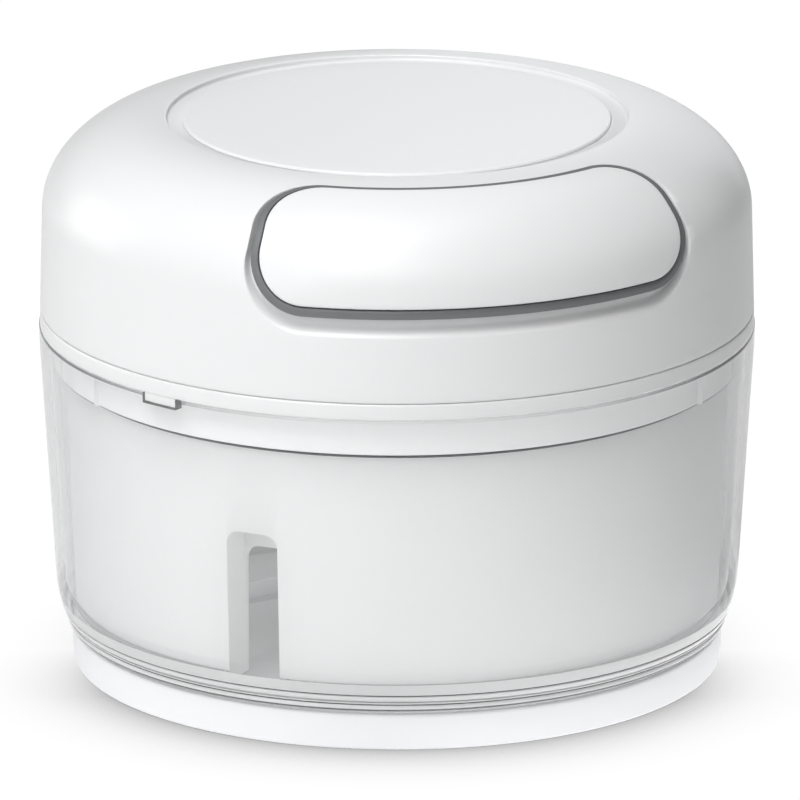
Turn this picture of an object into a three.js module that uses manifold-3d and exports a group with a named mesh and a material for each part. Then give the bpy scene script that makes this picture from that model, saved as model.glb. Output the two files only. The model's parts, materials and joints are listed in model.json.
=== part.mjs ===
// Hand-pulled food chopper: a clear bowl on a white base, a drum and blades inside it,
// and a domed lid that holds a cord reel worked by a pull handle.
// Millimetres, +Z up, origin at the centre of the underside. The pull handle faces -Y.
import * as THREE from 'three';
import { mergeVertices } from 'three/addons/utils/BufferGeometryUtils.js';
import Module from 'manifold-3d';

// ---------------------------------------------------------------- driving dimensions
const GAP = 0.3; // clearance between neighbouring pieces
const WALL = 2.2; // wall of the lid
const BIG_FACETS = 40; // sides of the large turned pieces
const MID_FACETS = 24; // sides of the mechanism pieces
const SMALL_FACETS = 12; // sides of pins, screws and their holes

// heights
const BASE_TOP = 7;
const BASE_FLOOR = 3; // the bowl's foot stands just above this
const BOWL_FLOOR = 9.5; // inside floor of the bowl
const BOSS_TOP = BOWL_FLOOR + 2;
const DRUM_BOTTOM = 12;
const SKIRT_BOTTOM = 55.5;
const PLATE_BOTTOM = 58; // the chassis plate that closes the lid from below
const PLATE_TOP = 60;
const BOWL_TOP = 62.9;
const BAND_BOTTOM = BOWL_TOP + GAP;
const BAND_TOP = 65.9;
const COLLAR_BOTTOM = 53.9;
const COLLAR_TOP = 61.7;
const LID_BOTTOM = BAND_TOP + GAP;
const SHOULDER_Z = 84.4; // where the dome starts to curve in
const LID_TOP = 101.4;
const LID_CEILING = LID_TOP - 4;
const CAP_RECESS_FLOOR = LID_TOP - 1.5;
const CORD_Z = 86;

// radii
const BASE_RADIUS = 59.3;
const BOWL_FOOT_RADIUS = 57;
const BOWL_LOW_RADIUS = 62.1;
const BOWL_TOP_RADIUS = 64.9;
const BOWL_WALL = 1.8;
const LID_RADIUS = 64.7;
const LID_TAPER = 0.5; // the lid's side leans in by this much up to the shoulder
const FLAT_RADIUS = 42; // flat top of the dome
const SKIRT_RADIUS = 61.3;
const SKIRT_INNER = 59.3;
const LUG_RADIUS = 62.3;
const CAP_RADIUS = 38.7;
const CAP_RECESS_RADIUS = 41.6;
const GASKET_INNER = 62.6;
const GASKET_OUTER = 63.7;
const COLLAR_INNER = 10.6; // the collar in the middle of the chassis plate
const COLLAR_OUTER = 12.6;

// inner drum and its notch
const DRUM_TOP_RADIUS = 60.2;
const DRUM_LOW_RADIUS = 58.6;
const DRUM_WALL = 1.8;
const NOTCH_BEARING = degrees(-40.8);
const NOTCH_WIDTH = 10;
const NOTCH_TOP = 38.8;
const NOTCH_FRAME_DEPTH = 8;
const NOTCH_FRAME_WALL = 1.6;
const NOTCH_BACK_TOP = 33.3; // the opening in the frame's back wall stops lower

// blade unit
const BLADE_RADIUS = 46;
const BLADE_THICK = 1.2;
const BLADE_LOW_Z = 15.5;
const BLADE_HIGH_Z = 33;
const BLADE_LOW_BEARING = 20;
const BLADE_HIGH_BEARING = 110;
const COLUMN_RADIUS = 6.5;
const PIN_RADIUS = 2.5;
const BUSH_RADIUS = 4.2;
const SPACER_RADIUS = 8.6;
const PIN_TOP = 30;
const HEX_RADIUS = 5; // the column's drive end
const HEX_BOTTOM = 50;
const HEX_TOP = PLATE_BOTTOM - 0.5;

// pull handle
const HANDLE_HALF_ANGLE = degrees(38);
const HANDLE_INNER = 49.1; // plan radius of its upper edge
const HANDLE_BOTTOM = 83.3;
const HANDLE_TOP_CORNER = 7;
const HANDLE_LOW_CORNER = 9;
const HANDLE_PROUD = 0.7; // how far the handle's face stands out of the dome
const HANDLE_THICK = 2;
const BORDER_PROUD = 0.3; // the back plate's border stands out less
const BORDER = 1.8; // width of the border at the handle's sides and below it
const BORDER_ABOVE = 1.1;
const BACK_DEPTH = 4.5; // depth of the back plate's rear below the dome
const POCKET_DEPTH = 5.1;
const POCKET_CLEARANCE = 0.5;
const GUTTER_DEPTH = 1.8;
const GUTTER_SIDE = 2.9;
const GUTTER_ABOVE = 1.7;
const GUTTER_BELOW = 5.5;
const HANDLE_SCREWS = [-20, 20].map(degrees);
const HANDLE_SCREW_Z = 86.5;
const HANDLE_SCREW_HOLE = 1.3;
const HANDLE_SCREW_HEAD = 59.9; // plan radius where the head starts
const HANDLE_SCREW_TIP = 63.6;

// cord and reel
const CORD_RADIUS = 1.1;
const WINDING_RADIUS = 19.6;
const FLANGE_RADIUS = 24;
const HUB_RADIUS = 16.5;
const REEL_BOTTOM = 80;
const REEL_TOP = 92;
const FLANGE_THICK = 1.5;
const GUIDE_Y = -51.5;
const GUIDE_END_Y = -57.9;
const GUIDE_RADIUS = 3.2;
const OUTER_RUN_Y = -56; // where the outer run of cord starts, inside the guide
const ANCHOR_Y = -60.2;
const ANCHOR_RADIUS = 2.3;
const ANCHOR_LONG = 1.3;
const AXLE_RADIUS = 3;
const AXLE_TOP = 96.2;

// ratchet
const TOOTH_COUNT = 12;
const TOOTH_ROOT = 18;
const TOOTH_TIP = 16;
const PAWL_PIN_PLACE = 11.5; // distance of the pawl pins from the axis
const PAWL_PIN_ANGLE = degrees(-32);
const PAWL_PIN_RADIUS = 1.2;
const PAWL_BOTTOM = 65;
const CUP_RADIUS = 20;
const CUP_BOTTOM = 62.3;
const CUP_TOP = 69;
const CUP_FLOOR = 2;
const STEM_RADIUS = 8;
const CARRIER_BOTTOM = 69.3;
const CARRIER_DISC_TOP = 71.3;
const CARRIER_TOP = 79.7;

// recoil spring and its case
const CASE_BOTTOM = 71.8;
const CASE_TOP = 79.6;
const CASE_INNER = 21.3;
const CASE_OUTER = 22.8;
const CASE_HOLE = 8.4;
const CASE_FLOOR = 1.3;
const EAR_THICK = 2;
const SPRING_INNER = 9;
const SPRING_OUTER = 20.5;
const SPRING_TURNS = 5;
const SPRING_THICK = 0.6;

// screws and their places, as [plan radius, bearing in degrees]
const CHASSIS_SCREWS = [75, 135, -135, -75].map((bearing) => [50, bearing]);
const CHASSIS_SCREW_HOLE = 1.7;
const CHASSIS_SCREW_TIP = 70;
const CASE_SCREWS = [60, 180, -60].map((bearing) => [31, bearing]);
const CASE_SCREW_HOLE = 1.5;
const CASE_SCREW_TIP = 87.5;

// tabs and lugs that locate the chassis in the bowl
const TAB_BEARINGS = [-55.8, 124.2].map(degrees);
const TAB_WIDTH = 7.2;
const TAB_HEIGHT = 1.6;
const LUG_BEARINGS = [-104.5, 75.5].map(degrees);
const LUG_HALF_ANGLE = degrees(29);
const LUG_BOTTOM = SKIRT_BOTTOM + 0.1;

// ---------------------------------------------------------------- solid helpers
const wasm = await Module();
wasm.setup();

function degrees(angle) {
  return (angle * Math.PI) / 180;
}

// A bearing is measured from -Y towards +X, seen from above counter-clockwise.
function onPlan(radius, bearing) {
  return [radius * Math.sin(bearing), -radius * Math.cos(bearing)];
}

function toSolid(geometry) {
  const bare = geometry.clone();
  bare.deleteAttribute('normal');
  bare.deleteAttribute('uv');
  const merged = mergeVertices(bare, 1e-4);
  const corners = merged.index.array;
  const kept = [];
  for (let i = 0; i < corners.length; i += 3) {
    const [a, b, c] = corners.slice(i, i + 3);
    if (a !== b && b !== c && c !== a) kept.push(a, b, c);
  }
  return new wasm.Manifold(new wasm.Mesh({
    numProp: 3,
    vertProperties: merged.attributes.position.array,
    triVerts: new Uint32Array(kept),
  }));
}

function toGeometry(solid) {
  const mesh = solid.getMesh();
  const geometry = new THREE.BufferGeometry();
  geometry.setAttribute('position', new THREE.BufferAttribute(mesh.vertProperties, 3));
  geometry.setIndex(new THREE.BufferAttribute(mesh.triVerts, 1));
  return geometry;
}

function joined(first, ...others) {
  return others.reduce((whole, piece) => whole.add(piece), first);
}

function cut(first, ...others) {
  return others.reduce((whole, piece) => whole.subtract(piece), first);
}

// A solid turned about Z. The outline is [radius, z] pairs, counter-clockwise, and it
// closes on itself unless it starts and ends on the axis.
function turned(outline, facets = BIG_FACETS) {
  const points = outline.map(([radius, z]) => new THREE.Vector2(radius, z));
  const onAxis = points[0].x === 0 && points.at(-1).x === 0;
  if (!onAxis) points.push(points[0].clone());
  return toSolid(new THREE.LatheGeometry(points, facets).rotateX(Math.PI / 2));
}

function rod(radius, bottom, top, facets = SMALL_FACETS, [x, y] = [0, 0]) {
  const geometry = new THREE.CylinderGeometry(radius, radius, top - bottom, facets);
  return toSolid(geometry.rotateX(Math.PI / 2).translate(x, y, (bottom + top) / 2));
}

function tube(inner, outer, bottom, top, facets = MID_FACETS) {
  return turned([[inner, bottom], [outer, bottom], [outer, top], [inner, top]], facets);
}

// A plan shape raised between two heights.
function raised(shape, bottom, top, curveSegments = 6) {
  const options = { depth: top - bottom, bevelEnabled: false, curveSegments };
  return toSolid(new THREE.ExtrudeGeometry(shape, options).translate(0, 0, bottom));
}

// A block between two radii, centred on a bearing.
function sector(inner, outer, bearing, halfAngle, bottom, top) {
  const shape = new THREE.Shape();
  const start = bearing - Math.PI / 2 - halfAngle;
  shape.absarc(0, 0, outer, start, start + 2 * halfAngle, false);
  shape.absarc(0, 0, inner, start + 2 * halfAngle, start, true);
  return raised(shape, bottom, top, 8);
}

// ---------------------------------------------------------------- the dome
// The lid's outside, from its foot up to the flat top, moved in by a given depth.
function domeOutline(depth, steps = 6) {
  const reachR = LID_RADIUS - LID_TAPER - FLAT_RADIUS - depth;
  const reachZ = LID_TOP - SHOULDER_Z - depth;
  const shoulder = new THREE.EllipseCurve(FLAT_RADIUS, SHOULDER_Z, reachR, reachZ, 0, Math.PI / 2);
  const rise = shoulder.getPoints(steps).map((point) => [point.x, point.y]);
  return [[LID_RADIUS - depth, LID_BOTTOM], ...rise];
}

// The layer of the dome between two depths, closed across the top.
function domeLayer(outerDepth, innerDepth) {
  const outer = domeOutline(outerDepth);
  const inner = domeOutline(innerDepth);
  const top = [[0, LID_TOP - outerDepth]];
  return turned([[0, LID_TOP - innerDepth], ...inner.reverse(), ...outer, ...top]);
}

// The block that bounds the handle, grown at its sides, above and below.
function handleBlock(side, above, below) {
  const half = HANDLE_HALF_ANGLE + side / LID_RADIUS;
  const inner = HANDLE_INNER - above;
  const bottom = HANDLE_BOTTOM - below;
  const top = LID_TOP + 5;
  const far = 2 * LID_RADIUS;
  const cornerTurn = HANDLE_TOP_CORNER / inner;
  const arcEnd = half - cornerTurn;
  const plan = new THREE.Shape();
  plan.moveTo(...onPlan(far, -half));
  plan.lineTo(...onPlan(inner + HANDLE_TOP_CORNER, -half));
  plan.quadraticCurveTo(...onPlan(inner, -half), ...onPlan(inner, -arcEnd));
  plan.absarc(0, 0, inner, -arcEnd - Math.PI / 2, arcEnd - Math.PI / 2, false);
  plan.quadraticCurveTo(...onPlan(inner, half), ...onPlan(inner + HANDLE_TOP_CORNER, half));
  plan.lineTo(...onPlan(far, half));

  const across = (LID_RADIUS - LID_TAPER) * Math.sin(half);
  const face = new THREE.Shape();
  face.moveTo(-across, top);
  face.lineTo(-across, bottom + HANDLE_LOW_CORNER);
  face.quadraticCurveTo(-across, bottom, -across + HANDLE_LOW_CORNER, bottom);
  face.lineTo(across - HANDLE_LOW_CORNER, bottom);
  face.quadraticCurveTo(across, bottom, across, bottom + HANDLE_LOW_CORNER);
  face.lineTo(across, top);
  const options = { depth: far, bevelEnabled: false, curveSegments: 4 };
  const front = new THREE.ExtrudeGeometry(face, options).rotateX(Math.PI / 2);
  return raised(plan, bottom - 1, top).intersect(toSolid(front));
}

function borderBlock(grow) {
  return handleBlock(BORDER + grow, BORDER_ABOVE + grow, BORDER + grow);
}

function gutterBlock(grow) {
  return handleBlock(GUTTER_SIDE + grow, GUTTER_ABOVE + grow, GUTTER_BELOW + grow);
}

// ---------------------------------------------------------------- base and bowl
function makeBaseRing() {
  const wall = BOWL_FOOT_RADIUS + GAP;
  const foot = BASE_RADIUS - 0.3;
  const edge = 0.6;
  return turned([
    [0, 0], [foot - edge, 0], [foot, edge], [BASE_RADIUS, BASE_TOP],
    [wall, BASE_TOP], [wall, BASE_FLOOR], [0, BASE_FLOOR],
  ]);
}

function bowlOutside() {
  return [
    [BOWL_LOW_RADIUS - 1.8, BASE_TOP + GAP], [BOWL_LOW_RADIUS - 0.6, 9.9],
    [BOWL_LOW_RADIUS, 14], [BOWL_TOP_RADIUS, BOWL_TOP],
  ];
}

function bowlInside() {
  const low = BOWL_LOW_RADIUS - BOWL_WALL;
  return [
    [BOWL_TOP_RADIUS - BOWL_WALL, BOWL_TOP], [low, 14],
    [low - 1.2, BOWL_FLOOR + 1.4], [low - 4, BOWL_FLOOR],
  ];
}

function makeBowl() {
  const under = BOWL_FLOOR - 2;
  const footInner = BOWL_FOOT_RADIUS - 2.5;
  const footBottom = BASE_FLOOR + GAP;
  const boss = 6;
  const pinHole = PIN_RADIUS + GAP;
  const shell = turned([
    [0, under], [footInner, under], [footInner, footBottom],
    [BOWL_FOOT_RADIUS, footBottom], [BOWL_FOOT_RADIUS, BASE_TOP + GAP],
    ...bowlOutside(), ...bowlInside(),
    [boss, BOWL_FLOOR], [boss, BOSS_TOP], [pinHole, BOSS_TOP], [pinHole, BOWL_FLOOR],
    [0, BOWL_FLOOR],
  ]);
  const notchInner = BOWL_TOP_RADIUS - 5;
  const notchOuter = BOWL_TOP_RADIUS + 5;
  const notchHalf = (TAB_WIDTH / 2 + GAP) / BOWL_TOP_RADIUS;
  const notchBottom = BOWL_TOP - TAB_HEIGHT - GAP;
  const notches = TAB_BEARINGS.map((bearing) => (
    sector(notchInner, notchOuter, bearing, notchHalf, notchBottom, BOWL_TOP + 1)));
  return cut(shell, ...notches);
}

// ---------------------------------------------------------------- inner drum
// An arch in the XZ plane, square below, with its upper corners rounded.
function archBlock(halfWidth, bottom, top, corner, nearY, farY) {
  const arch = new THREE.Shape();
  arch.moveTo(-halfWidth, bottom);
  arch.lineTo(halfWidth, bottom);
  arch.lineTo(halfWidth, top - corner);
  arch.quadraticCurveTo(halfWidth, top, halfWidth - corner, top);
  arch.lineTo(-halfWidth + corner, top);
  arch.quadraticCurveTo(-halfWidth, top, -halfWidth, top - corner);
  const options = { depth: farY - nearY, bevelEnabled: false, curveSegments: 4 };
  const geometry = new THREE.ExtrudeGeometry(arch, options).rotateX(Math.PI / 2);
  return toSolid(geometry.translate(0, -nearY, 0).rotateZ(NOTCH_BEARING));
}

function makeInnerDrum() {
  const top = SKIRT_BOTTOM - GAP;
  const neckTop = PLATE_BOTTOM - GAP;
  const neck = SKIRT_INNER - GAP;
  const wall = turned([
    [DRUM_LOW_RADIUS - DRUM_WALL, DRUM_BOTTOM], [DRUM_LOW_RADIUS, DRUM_BOTTOM],
    [DRUM_TOP_RADIUS, top], [neck, top], [neck, neckTop], [neck - DRUM_WALL, neckTop],
    [neck - DRUM_WALL, top - DRUM_WALL],
  ]);
  const outside = turned([[0, 0], [DRUM_LOW_RADIUS - 1, 0], [DRUM_TOP_RADIUS - 1, top], [0, top]]);
  const half = NOTCH_WIDTH / 2;
  const inner = DRUM_LOW_RADIUS - NOTCH_FRAME_DEPTH;
  const frame = archBlock(
    half + NOTCH_FRAME_WALL, DRUM_BOTTOM, NOTCH_TOP + NOTCH_FRAME_WALL, 3.5, inner, LID_RADIUS);
  const below = DRUM_BOTTOM - 1;
  const past = LID_RADIUS + 1;
  const pocket = archBlock(half, below, NOTCH_TOP, 2.5, inner + NOTCH_FRAME_WALL, past);
  const opening = archBlock(half - 0.05, below, NOTCH_BACK_TOP, 3, inner - 1, LID_RADIUS);
  return cut(joined(wall, frame.intersect(outside)), pocket, opening);
}

// ---------------------------------------------------------------- blade unit
function makeBladeColumn() {
  const bore = PIN_RADIUS + GAP;
  const bushBore = BUSH_RADIUS + GAP;
  const bushTop = DRUM_BOTTOM + 6.6;
  const post = turned([
    [bushBore, DRUM_BOTTOM], [COLUMN_RADIUS, DRUM_BOTTOM], [COLUMN_RADIUS, HEX_BOTTOM],
    [0, HEX_BOTTOM], [0, PIN_TOP + 1], [bore, PIN_TOP + 1], [bore, bushTop], [bushBore, bushTop],
  ], MID_FACETS);
  return joined(post, rod(HEX_RADIUS, HEX_BOTTOM - 1, HEX_TOP, 6));
}

function makeColumnBush() {
  return tube(PIN_RADIUS + GAP, BUSH_RADIUS, DRUM_BOTTOM + 0.2, DRUM_BOTTOM + 6.3);
}

// One flat blade with two swept wings, each with a straight back and a curved edge.
function makeBlade(bottom, bearing) {
  const hub = COLUMN_RADIUS + 3.5;
  const blade = new THREE.Shape();
  blade.absarc(0, 0, hub, degrees(30), degrees(150), false);
  blade.quadraticCurveTo(-0.6 * BLADE_RADIUS, 12, -BLADE_RADIUS, -2);
  blade.quadraticCurveTo(-0.5 * BLADE_RADIUS, -2, -hub, -5);
  blade.absarc(0, 0, hub, degrees(210), degrees(330), false);
  blade.quadraticCurveTo(0.6 * BLADE_RADIUS, -12, BLADE_RADIUS, 2);
  blade.quadraticCurveTo(0.5 * BLADE_RADIUS, 2, hub, 5);
  const hole = new THREE.Path();
  hole.absarc(0, 0, COLUMN_RADIUS + GAP, 0, 2 * Math.PI, true);
  blade.holes.push(hole);
  return raised(blade, bottom, bottom + BLADE_THICK, 10).rotate([0, 0, bearing]);
}

// ---------------------------------------------------------------- lid
function screwRods(places, radius, bottom, top) {
  return places.map(([distance, bearing]) => (
    rod(radius, bottom, top, SMALL_FACETS, onPlan(distance, degrees(bearing)))));
}

function makeLidShell() {
  const lining = 2;
  const axleBoss = AXLE_RADIUS + 3;
  const shell = joined(
    domeLayer(0, WALL),
    rod(FLAT_RADIUS + 2, LID_CEILING, LID_TOP - 1, BIG_FACETS),
    domeLayer(0, POCKET_DEPTH + lining).intersect(borderBlock(lining)),
    domeLayer(0, GUTTER_DEPTH + lining).intersect(gutterBlock(lining)),
    rod(axleBoss, REEL_TOP + 0.5, LID_CEILING + 0.5, MID_FACETS),
    ...screwRods(CHASSIS_SCREWS, 3.6, PLATE_TOP + GAP, LID_TOP - 3.2),
    ...screwRods(CASE_SCREWS, 3, CASE_TOP + GAP, LID_CEILING + 0.5),
  );
  return cut(
    shell,
    domeLayer(-2, GUTTER_DEPTH).intersect(gutterBlock(0)),
    domeLayer(-2, POCKET_DEPTH).intersect(borderBlock(POCKET_CLEARANCE)),
    rod(CAP_RECESS_RADIUS, CAP_RECESS_FLOOR, LID_TOP + 1, BIG_FACETS),
    rod(AXLE_RADIUS + GAP, REEL_TOP - 2, AXLE_TOP + GAP, MID_FACETS),
    rodAlongY(GUIDE_RADIUS + GAP, GUIDE_END_Y - 4, GUIDE_Y + 3, SMALL_FACETS),
    ...screwRods(CHASSIS_SCREWS, CHASSIS_SCREW_HOLE, PLATE_TOP, CHASSIS_SCREW_TIP + 0.5),
    ...screwRods(CASE_SCREWS, CASE_SCREW_HOLE, CASE_TOP, CASE_SCREW_TIP + 0.5),
  );
}

function makeTopCap() {
  const bottom = CAP_RECESS_FLOOR + GAP;
  const top = LID_TOP - 0.4;
  const edge = 0.5;
  return turned([
    [0, bottom], [CAP_RADIUS, bottom], [CAP_RADIUS, top - edge], [CAP_RADIUS - edge, top], [0, top],
  ]);
}

function makeLidChassis() {
  const grooveTop = BAND_BOTTOM + 1.4;
  const body = turned([
    [COLLAR_INNER, COLLAR_BOTTOM], [COLLAR_OUTER, COLLAR_BOTTOM], [COLLAR_OUTER, PLATE_BOTTOM],
    [SKIRT_INNER, PLATE_BOTTOM], [SKIRT_INNER, SKIRT_BOTTOM], [SKIRT_RADIUS, SKIRT_BOTTOM],
    [SKIRT_RADIUS, BAND_BOTTOM], [GASKET_INNER - GAP, BAND_BOTTOM], [GASKET_INNER - GAP, grooveTop],
    [GASKET_OUTER + GAP, grooveTop], [GASKET_OUTER + GAP, BAND_BOTTOM],
    [LID_RADIUS, BAND_BOTTOM], [LID_RADIUS, BAND_TOP], [SKIRT_INNER, BAND_TOP],
    [SKIRT_INNER, PLATE_TOP], [COLLAR_OUTER, PLATE_TOP], [COLLAR_OUTER, COLLAR_TOP],
    [COLLAR_INNER, COLLAR_TOP],
  ]);
  const lugs = LUG_BEARINGS.map((bearing) => (
    sector(SKIRT_RADIUS - 1, LUG_RADIUS, bearing, LUG_HALF_ANGLE, LUG_BOTTOM, BAND_BOTTOM - 0.05)));
  const tabs = TAB_BEARINGS.map((bearing) => (
    sector(SKIRT_RADIUS - 1, BOWL_TOP_RADIUS - GAP, bearing, TAB_WIDTH / 2 / BOWL_TOP_RADIUS,
      BOWL_TOP - TAB_HEIGHT, BOWL_TOP - 0.1)));
  const holes = screwRods(CHASSIS_SCREWS, CHASSIS_SCREW_HOLE, PLATE_BOTTOM - 1, PLATE_TOP + 1);
  return cut(joined(body, ...lugs, ...tabs), ...holes);
}

function makeGasket() {
  return tube(GASKET_INNER, GASKET_OUTER, BAND_BOTTOM + 0.05, BAND_BOTTOM + 1.1, BIG_FACETS);
}

// ---------------------------------------------------------------- cord reel and drive
// A ring with saw teeth inside: each tooth is steep on its clockwise side.
function toothedRing(bottom, top) {
  const ring = new THREE.Shape();
  ring.absarc(0, 0, CUP_RADIUS, 0, 2 * Math.PI, false);
  const teeth = new THREE.Path();
  for (let i = 0; i <= TOOTH_COUNT; i += 1) {
    const angle = (i * 2 * Math.PI) / TOOTH_COUNT;
    const tip = [TOOTH_TIP * Math.cos(angle), TOOTH_TIP * Math.sin(angle)];
    const root = [TOOTH_ROOT * Math.cos(angle), TOOTH_ROOT * Math.sin(angle)];
    if (i > 0) teeth.lineTo(...tip);
    if (i === 0) teeth.moveTo(...root);
    if (i > 0 && i < TOOTH_COUNT) teeth.lineTo(...root);
  }
  ring.holes.push(teeth);
  return raised(ring, bottom, top, 12);
}

function makeDriveCoupler() {
  const bottom = 53;
  const socket = rod(HEX_RADIUS + 0.4, bottom - 1, PLATE_BOTTOM, 6);
  const body = turned([
    [0, bottom], [STEM_RADIUS, bottom], [STEM_RADIUS, CUP_BOTTOM], [CUP_RADIUS, CUP_BOTTOM],
    [CUP_RADIUS, CUP_BOTTOM + CUP_FLOOR], [AXLE_RADIUS + GAP, CUP_BOTTOM + CUP_FLOOR],
    [AXLE_RADIUS + GAP, PLATE_TOP], [0, PLATE_TOP],
  ], MID_FACETS);
  return joined(cut(body, socket), toothedRing(CUP_BOTTOM + 1, CUP_TOP));
}

function pawlPinPlace(turn) {
  const angle = turn + PAWL_PIN_ANGLE;
  return [PAWL_PIN_PLACE * Math.cos(angle), PAWL_PIN_PLACE * Math.sin(angle)];
}

function makePawlCarrier() {
  const bore = AXLE_RADIUS + GAP;
  const disc = CUP_RADIUS + 1;
  const body = turned([
    [bore, CARRIER_BOTTOM], [disc, CARRIER_BOTTOM], [disc, CARRIER_DISC_TOP],
    [STEM_RADIUS, CARRIER_DISC_TOP], [STEM_RADIUS, CARRIER_TOP], [bore, CARRIER_TOP],
  ], MID_FACETS);
  const pins = [0, Math.PI].map((turn) => (
    rod(PAWL_PIN_RADIUS, PAWL_BOTTOM, CARRIER_BOTTOM + 1, SMALL_FACETS, pawlPinPlace(turn))));
  return joined(body, ...pins);
}

// A hooked pawl: its eye turns on the pin and its tip hangs behind a tooth.
function makePawl(turn) {
  const at = (radius, angle) => [
    radius * Math.cos(degrees(angle)), radius * Math.sin(degrees(angle))];
  const [pinX, pinY] = pawlPinPlace(0);
  const eye = 2.6;
  const shape = new THREE.Shape();
  shape.absarc(pinX, pinY, eye, degrees(150), degrees(340), false);
  shape.lineTo(...at(15.4, -3));
  shape.lineTo(...at(15.4, 1.2));
  shape.lineTo(...at(17.4, 1.4));
  shape.lineTo(...at(17.1, 5));
  shape.lineTo(...at(13.6, 7));
  const hole = new THREE.Path();
  hole.absarc(pinX, pinY, PAWL_PIN_RADIUS + GAP, 0, 2 * Math.PI, true);
  shape.holes.push(hole);
  const pawl = raised(shape, PAWL_BOTTOM, CARRIER_BOTTOM - GAP, 5);
  return pawl.rotate([0, 0, (turn * 180) / Math.PI]);
}

function makeReel() {
  const bore = AXLE_RADIUS + GAP;
  const low = REEL_BOTTOM + FLANGE_THICK;
  const high = REEL_TOP - FLANGE_THICK;
  return turned([
    [bore, REEL_BOTTOM], [FLANGE_RADIUS, REEL_BOTTOM], [FLANGE_RADIUS, low], [HUB_RADIUS, low],
    [HUB_RADIUS, high], [FLANGE_RADIUS, high], [FLANGE_RADIUS, REEL_TOP], [bore, REEL_TOP],
  ], MID_FACETS);
}

function makeCordWinding() {
  const clear = FLANGE_THICK + GAP;
  return tube(HUB_RADIUS + GAP, WINDING_RADIUS, REEL_BOTTOM + clear, REEL_TOP - clear);
}

function makeRecoilSpring() {
  const stepsPerTurn = 16;
  const steps = SPRING_TURNS * stepsPerTurn;
  const widening = SPRING_OUTER - SPRING_INNER - SPRING_THICK;
  const spiral = (extra) => Array.from({ length: steps + 1 }, (_, i) => {
    const radius = SPRING_INNER + (widening * i) / steps + extra;
    const angle = (2 * Math.PI * i) / stepsPerTurn;
    return new THREE.Vector2(radius * Math.cos(angle), radius * Math.sin(angle));
  });
  const band = new THREE.Shape([...spiral(SPRING_THICK), ...spiral(0).reverse()]);
  return raised(band, CASE_BOTTOM + CASE_FLOOR + GAP, CASE_TOP - 1);
}

function makeSpringCase() {
  const earBottom = CASE_TOP - EAR_THICK;
  const cup = turned([
    [CASE_HOLE, CASE_BOTTOM], [CASE_OUTER, CASE_BOTTOM], [CASE_OUTER, CASE_TOP],
    [CASE_INNER, CASE_TOP], [CASE_INNER, CASE_BOTTOM + CASE_FLOOR],
    [CASE_HOLE, CASE_BOTTOM + CASE_FLOOR],
  ], MID_FACETS);
  const ears = screwRods(CASE_SCREWS, 4, earBottom, CASE_TOP);
  const arms = CASE_SCREWS.map(([radius, bearing]) => (
    sector(CASE_OUTER - 0.8, radius, degrees(bearing), degrees(7), earBottom, CASE_TOP)));
  const holes = screwRods(CASE_SCREWS, CASE_SCREW_HOLE, earBottom - 1, CASE_TOP + 1);
  return cut(joined(cup, ...ears, ...arms), ...holes);
}

// A cross-head screw standing with its head down, its shank reaching up.
function makeScrew(headRadius, shankRadius, headBottom, headTop, tip) {
  const slot = headRadius * 0.55;
  const body = turned([
    [0, headBottom], [headRadius, headBottom], [headRadius, headTop], [shankRadius, headTop],
    [shankRadius, tip - 1], [0, tip],
  ], SMALL_FACETS);
  const bars = [0, 90].map((turn) => (
    toSolid(new THREE.BoxGeometry(2 * slot, 0.6, 1.4).translate(0, 0, headBottom))
      .rotate([0, 0, turn])));
  return cut(body, ...bars);
}

// ---------------------------------------------------------------- cord
function rodAlongY(radius, startY, endY, facets) {
  const geometry = new THREE.CylinderGeometry(radius, radius, endY - startY, facets);
  return toSolid(geometry.translate(0, (startY + endY) / 2, CORD_Z));
}

// The guide flares at both ends of its bore, and a flange holds it behind the pocket.
function makeCordGuide() {
  const bore = CORD_RADIUS + 0.4;
  const flange = GUIDE_RADIUS + 1.4;
  const flangeEnd = GUIDE_Y - 2;
  const outline = [
    [2.7, GUIDE_Y], [bore, flangeEnd - 0.4], [bore, OUTER_RUN_Y], [2.4, GUIDE_END_Y],
    [GUIDE_RADIUS, GUIDE_END_Y], [GUIDE_RADIUS, flangeEnd], [flange, flangeEnd], [flange, GUIDE_Y],
  ];
  const points = [...outline, outline[0]].map(([radius, y]) => new THREE.Vector2(radius, y));
  return toSolid(new THREE.LatheGeometry(points, SMALL_FACETS).translate(0, 0, CORD_Z));
}

function cordTube(points, steps) {
  const path = new THREE.CatmullRomCurve3(points.map(([x, y]) => new THREE.Vector3(x, y, CORD_Z)));
  const section = new THREE.Shape();
  section.absarc(0, 0, CORD_RADIUS, 0, 2 * Math.PI, false);
  const options = { steps, extrudePath: path, curveSegments: 4, bevelEnabled: false };
  return toSolid(new THREE.ExtrudeGeometry(section, options));
}

// The cord leaves the winding on its tangent and runs straight to the guide.
function makeCordInnerRun() {
  const leave = WINDING_RADIUS + CORD_RADIUS + GAP;
  const bearing = Math.acos(leave / -GUIDE_Y);
  const [x, y] = onPlan(leave, bearing);
  const between = (share) => [x * (1 - share), y + (GUIDE_Y - y) * share];
  const inGuide = [[0, GUIDE_Y - 2.5], [0, OUTER_RUN_Y + GAP]];
  return cordTube([[x, y], between(0.3), between(0.6), between(0.92), ...inGuide], 14);
}

// The outer run crosses from the guide to the anchor in the handle.
function makeCordOuterRun() {
  return cordTube([[0, OUTER_RUN_Y], [0, GUIDE_END_Y], [0, ANCHOR_Y + GAP]], 2);
}

// ---------------------------------------------------------------- pull handle
// A rod lying along a bearing at the handle screws' height, between two plan radii.
function rodAlongBearing(radius, inner, outer, bearing) {
  const geometry = new THREE.CylinderGeometry(radius, radius, outer - inner, SMALL_FACETS);
  const middle = -(inner + outer) / 2;
  return toSolid(geometry.translate(0, middle, HANDLE_SCREW_Z).rotateZ(bearing));
}

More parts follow.
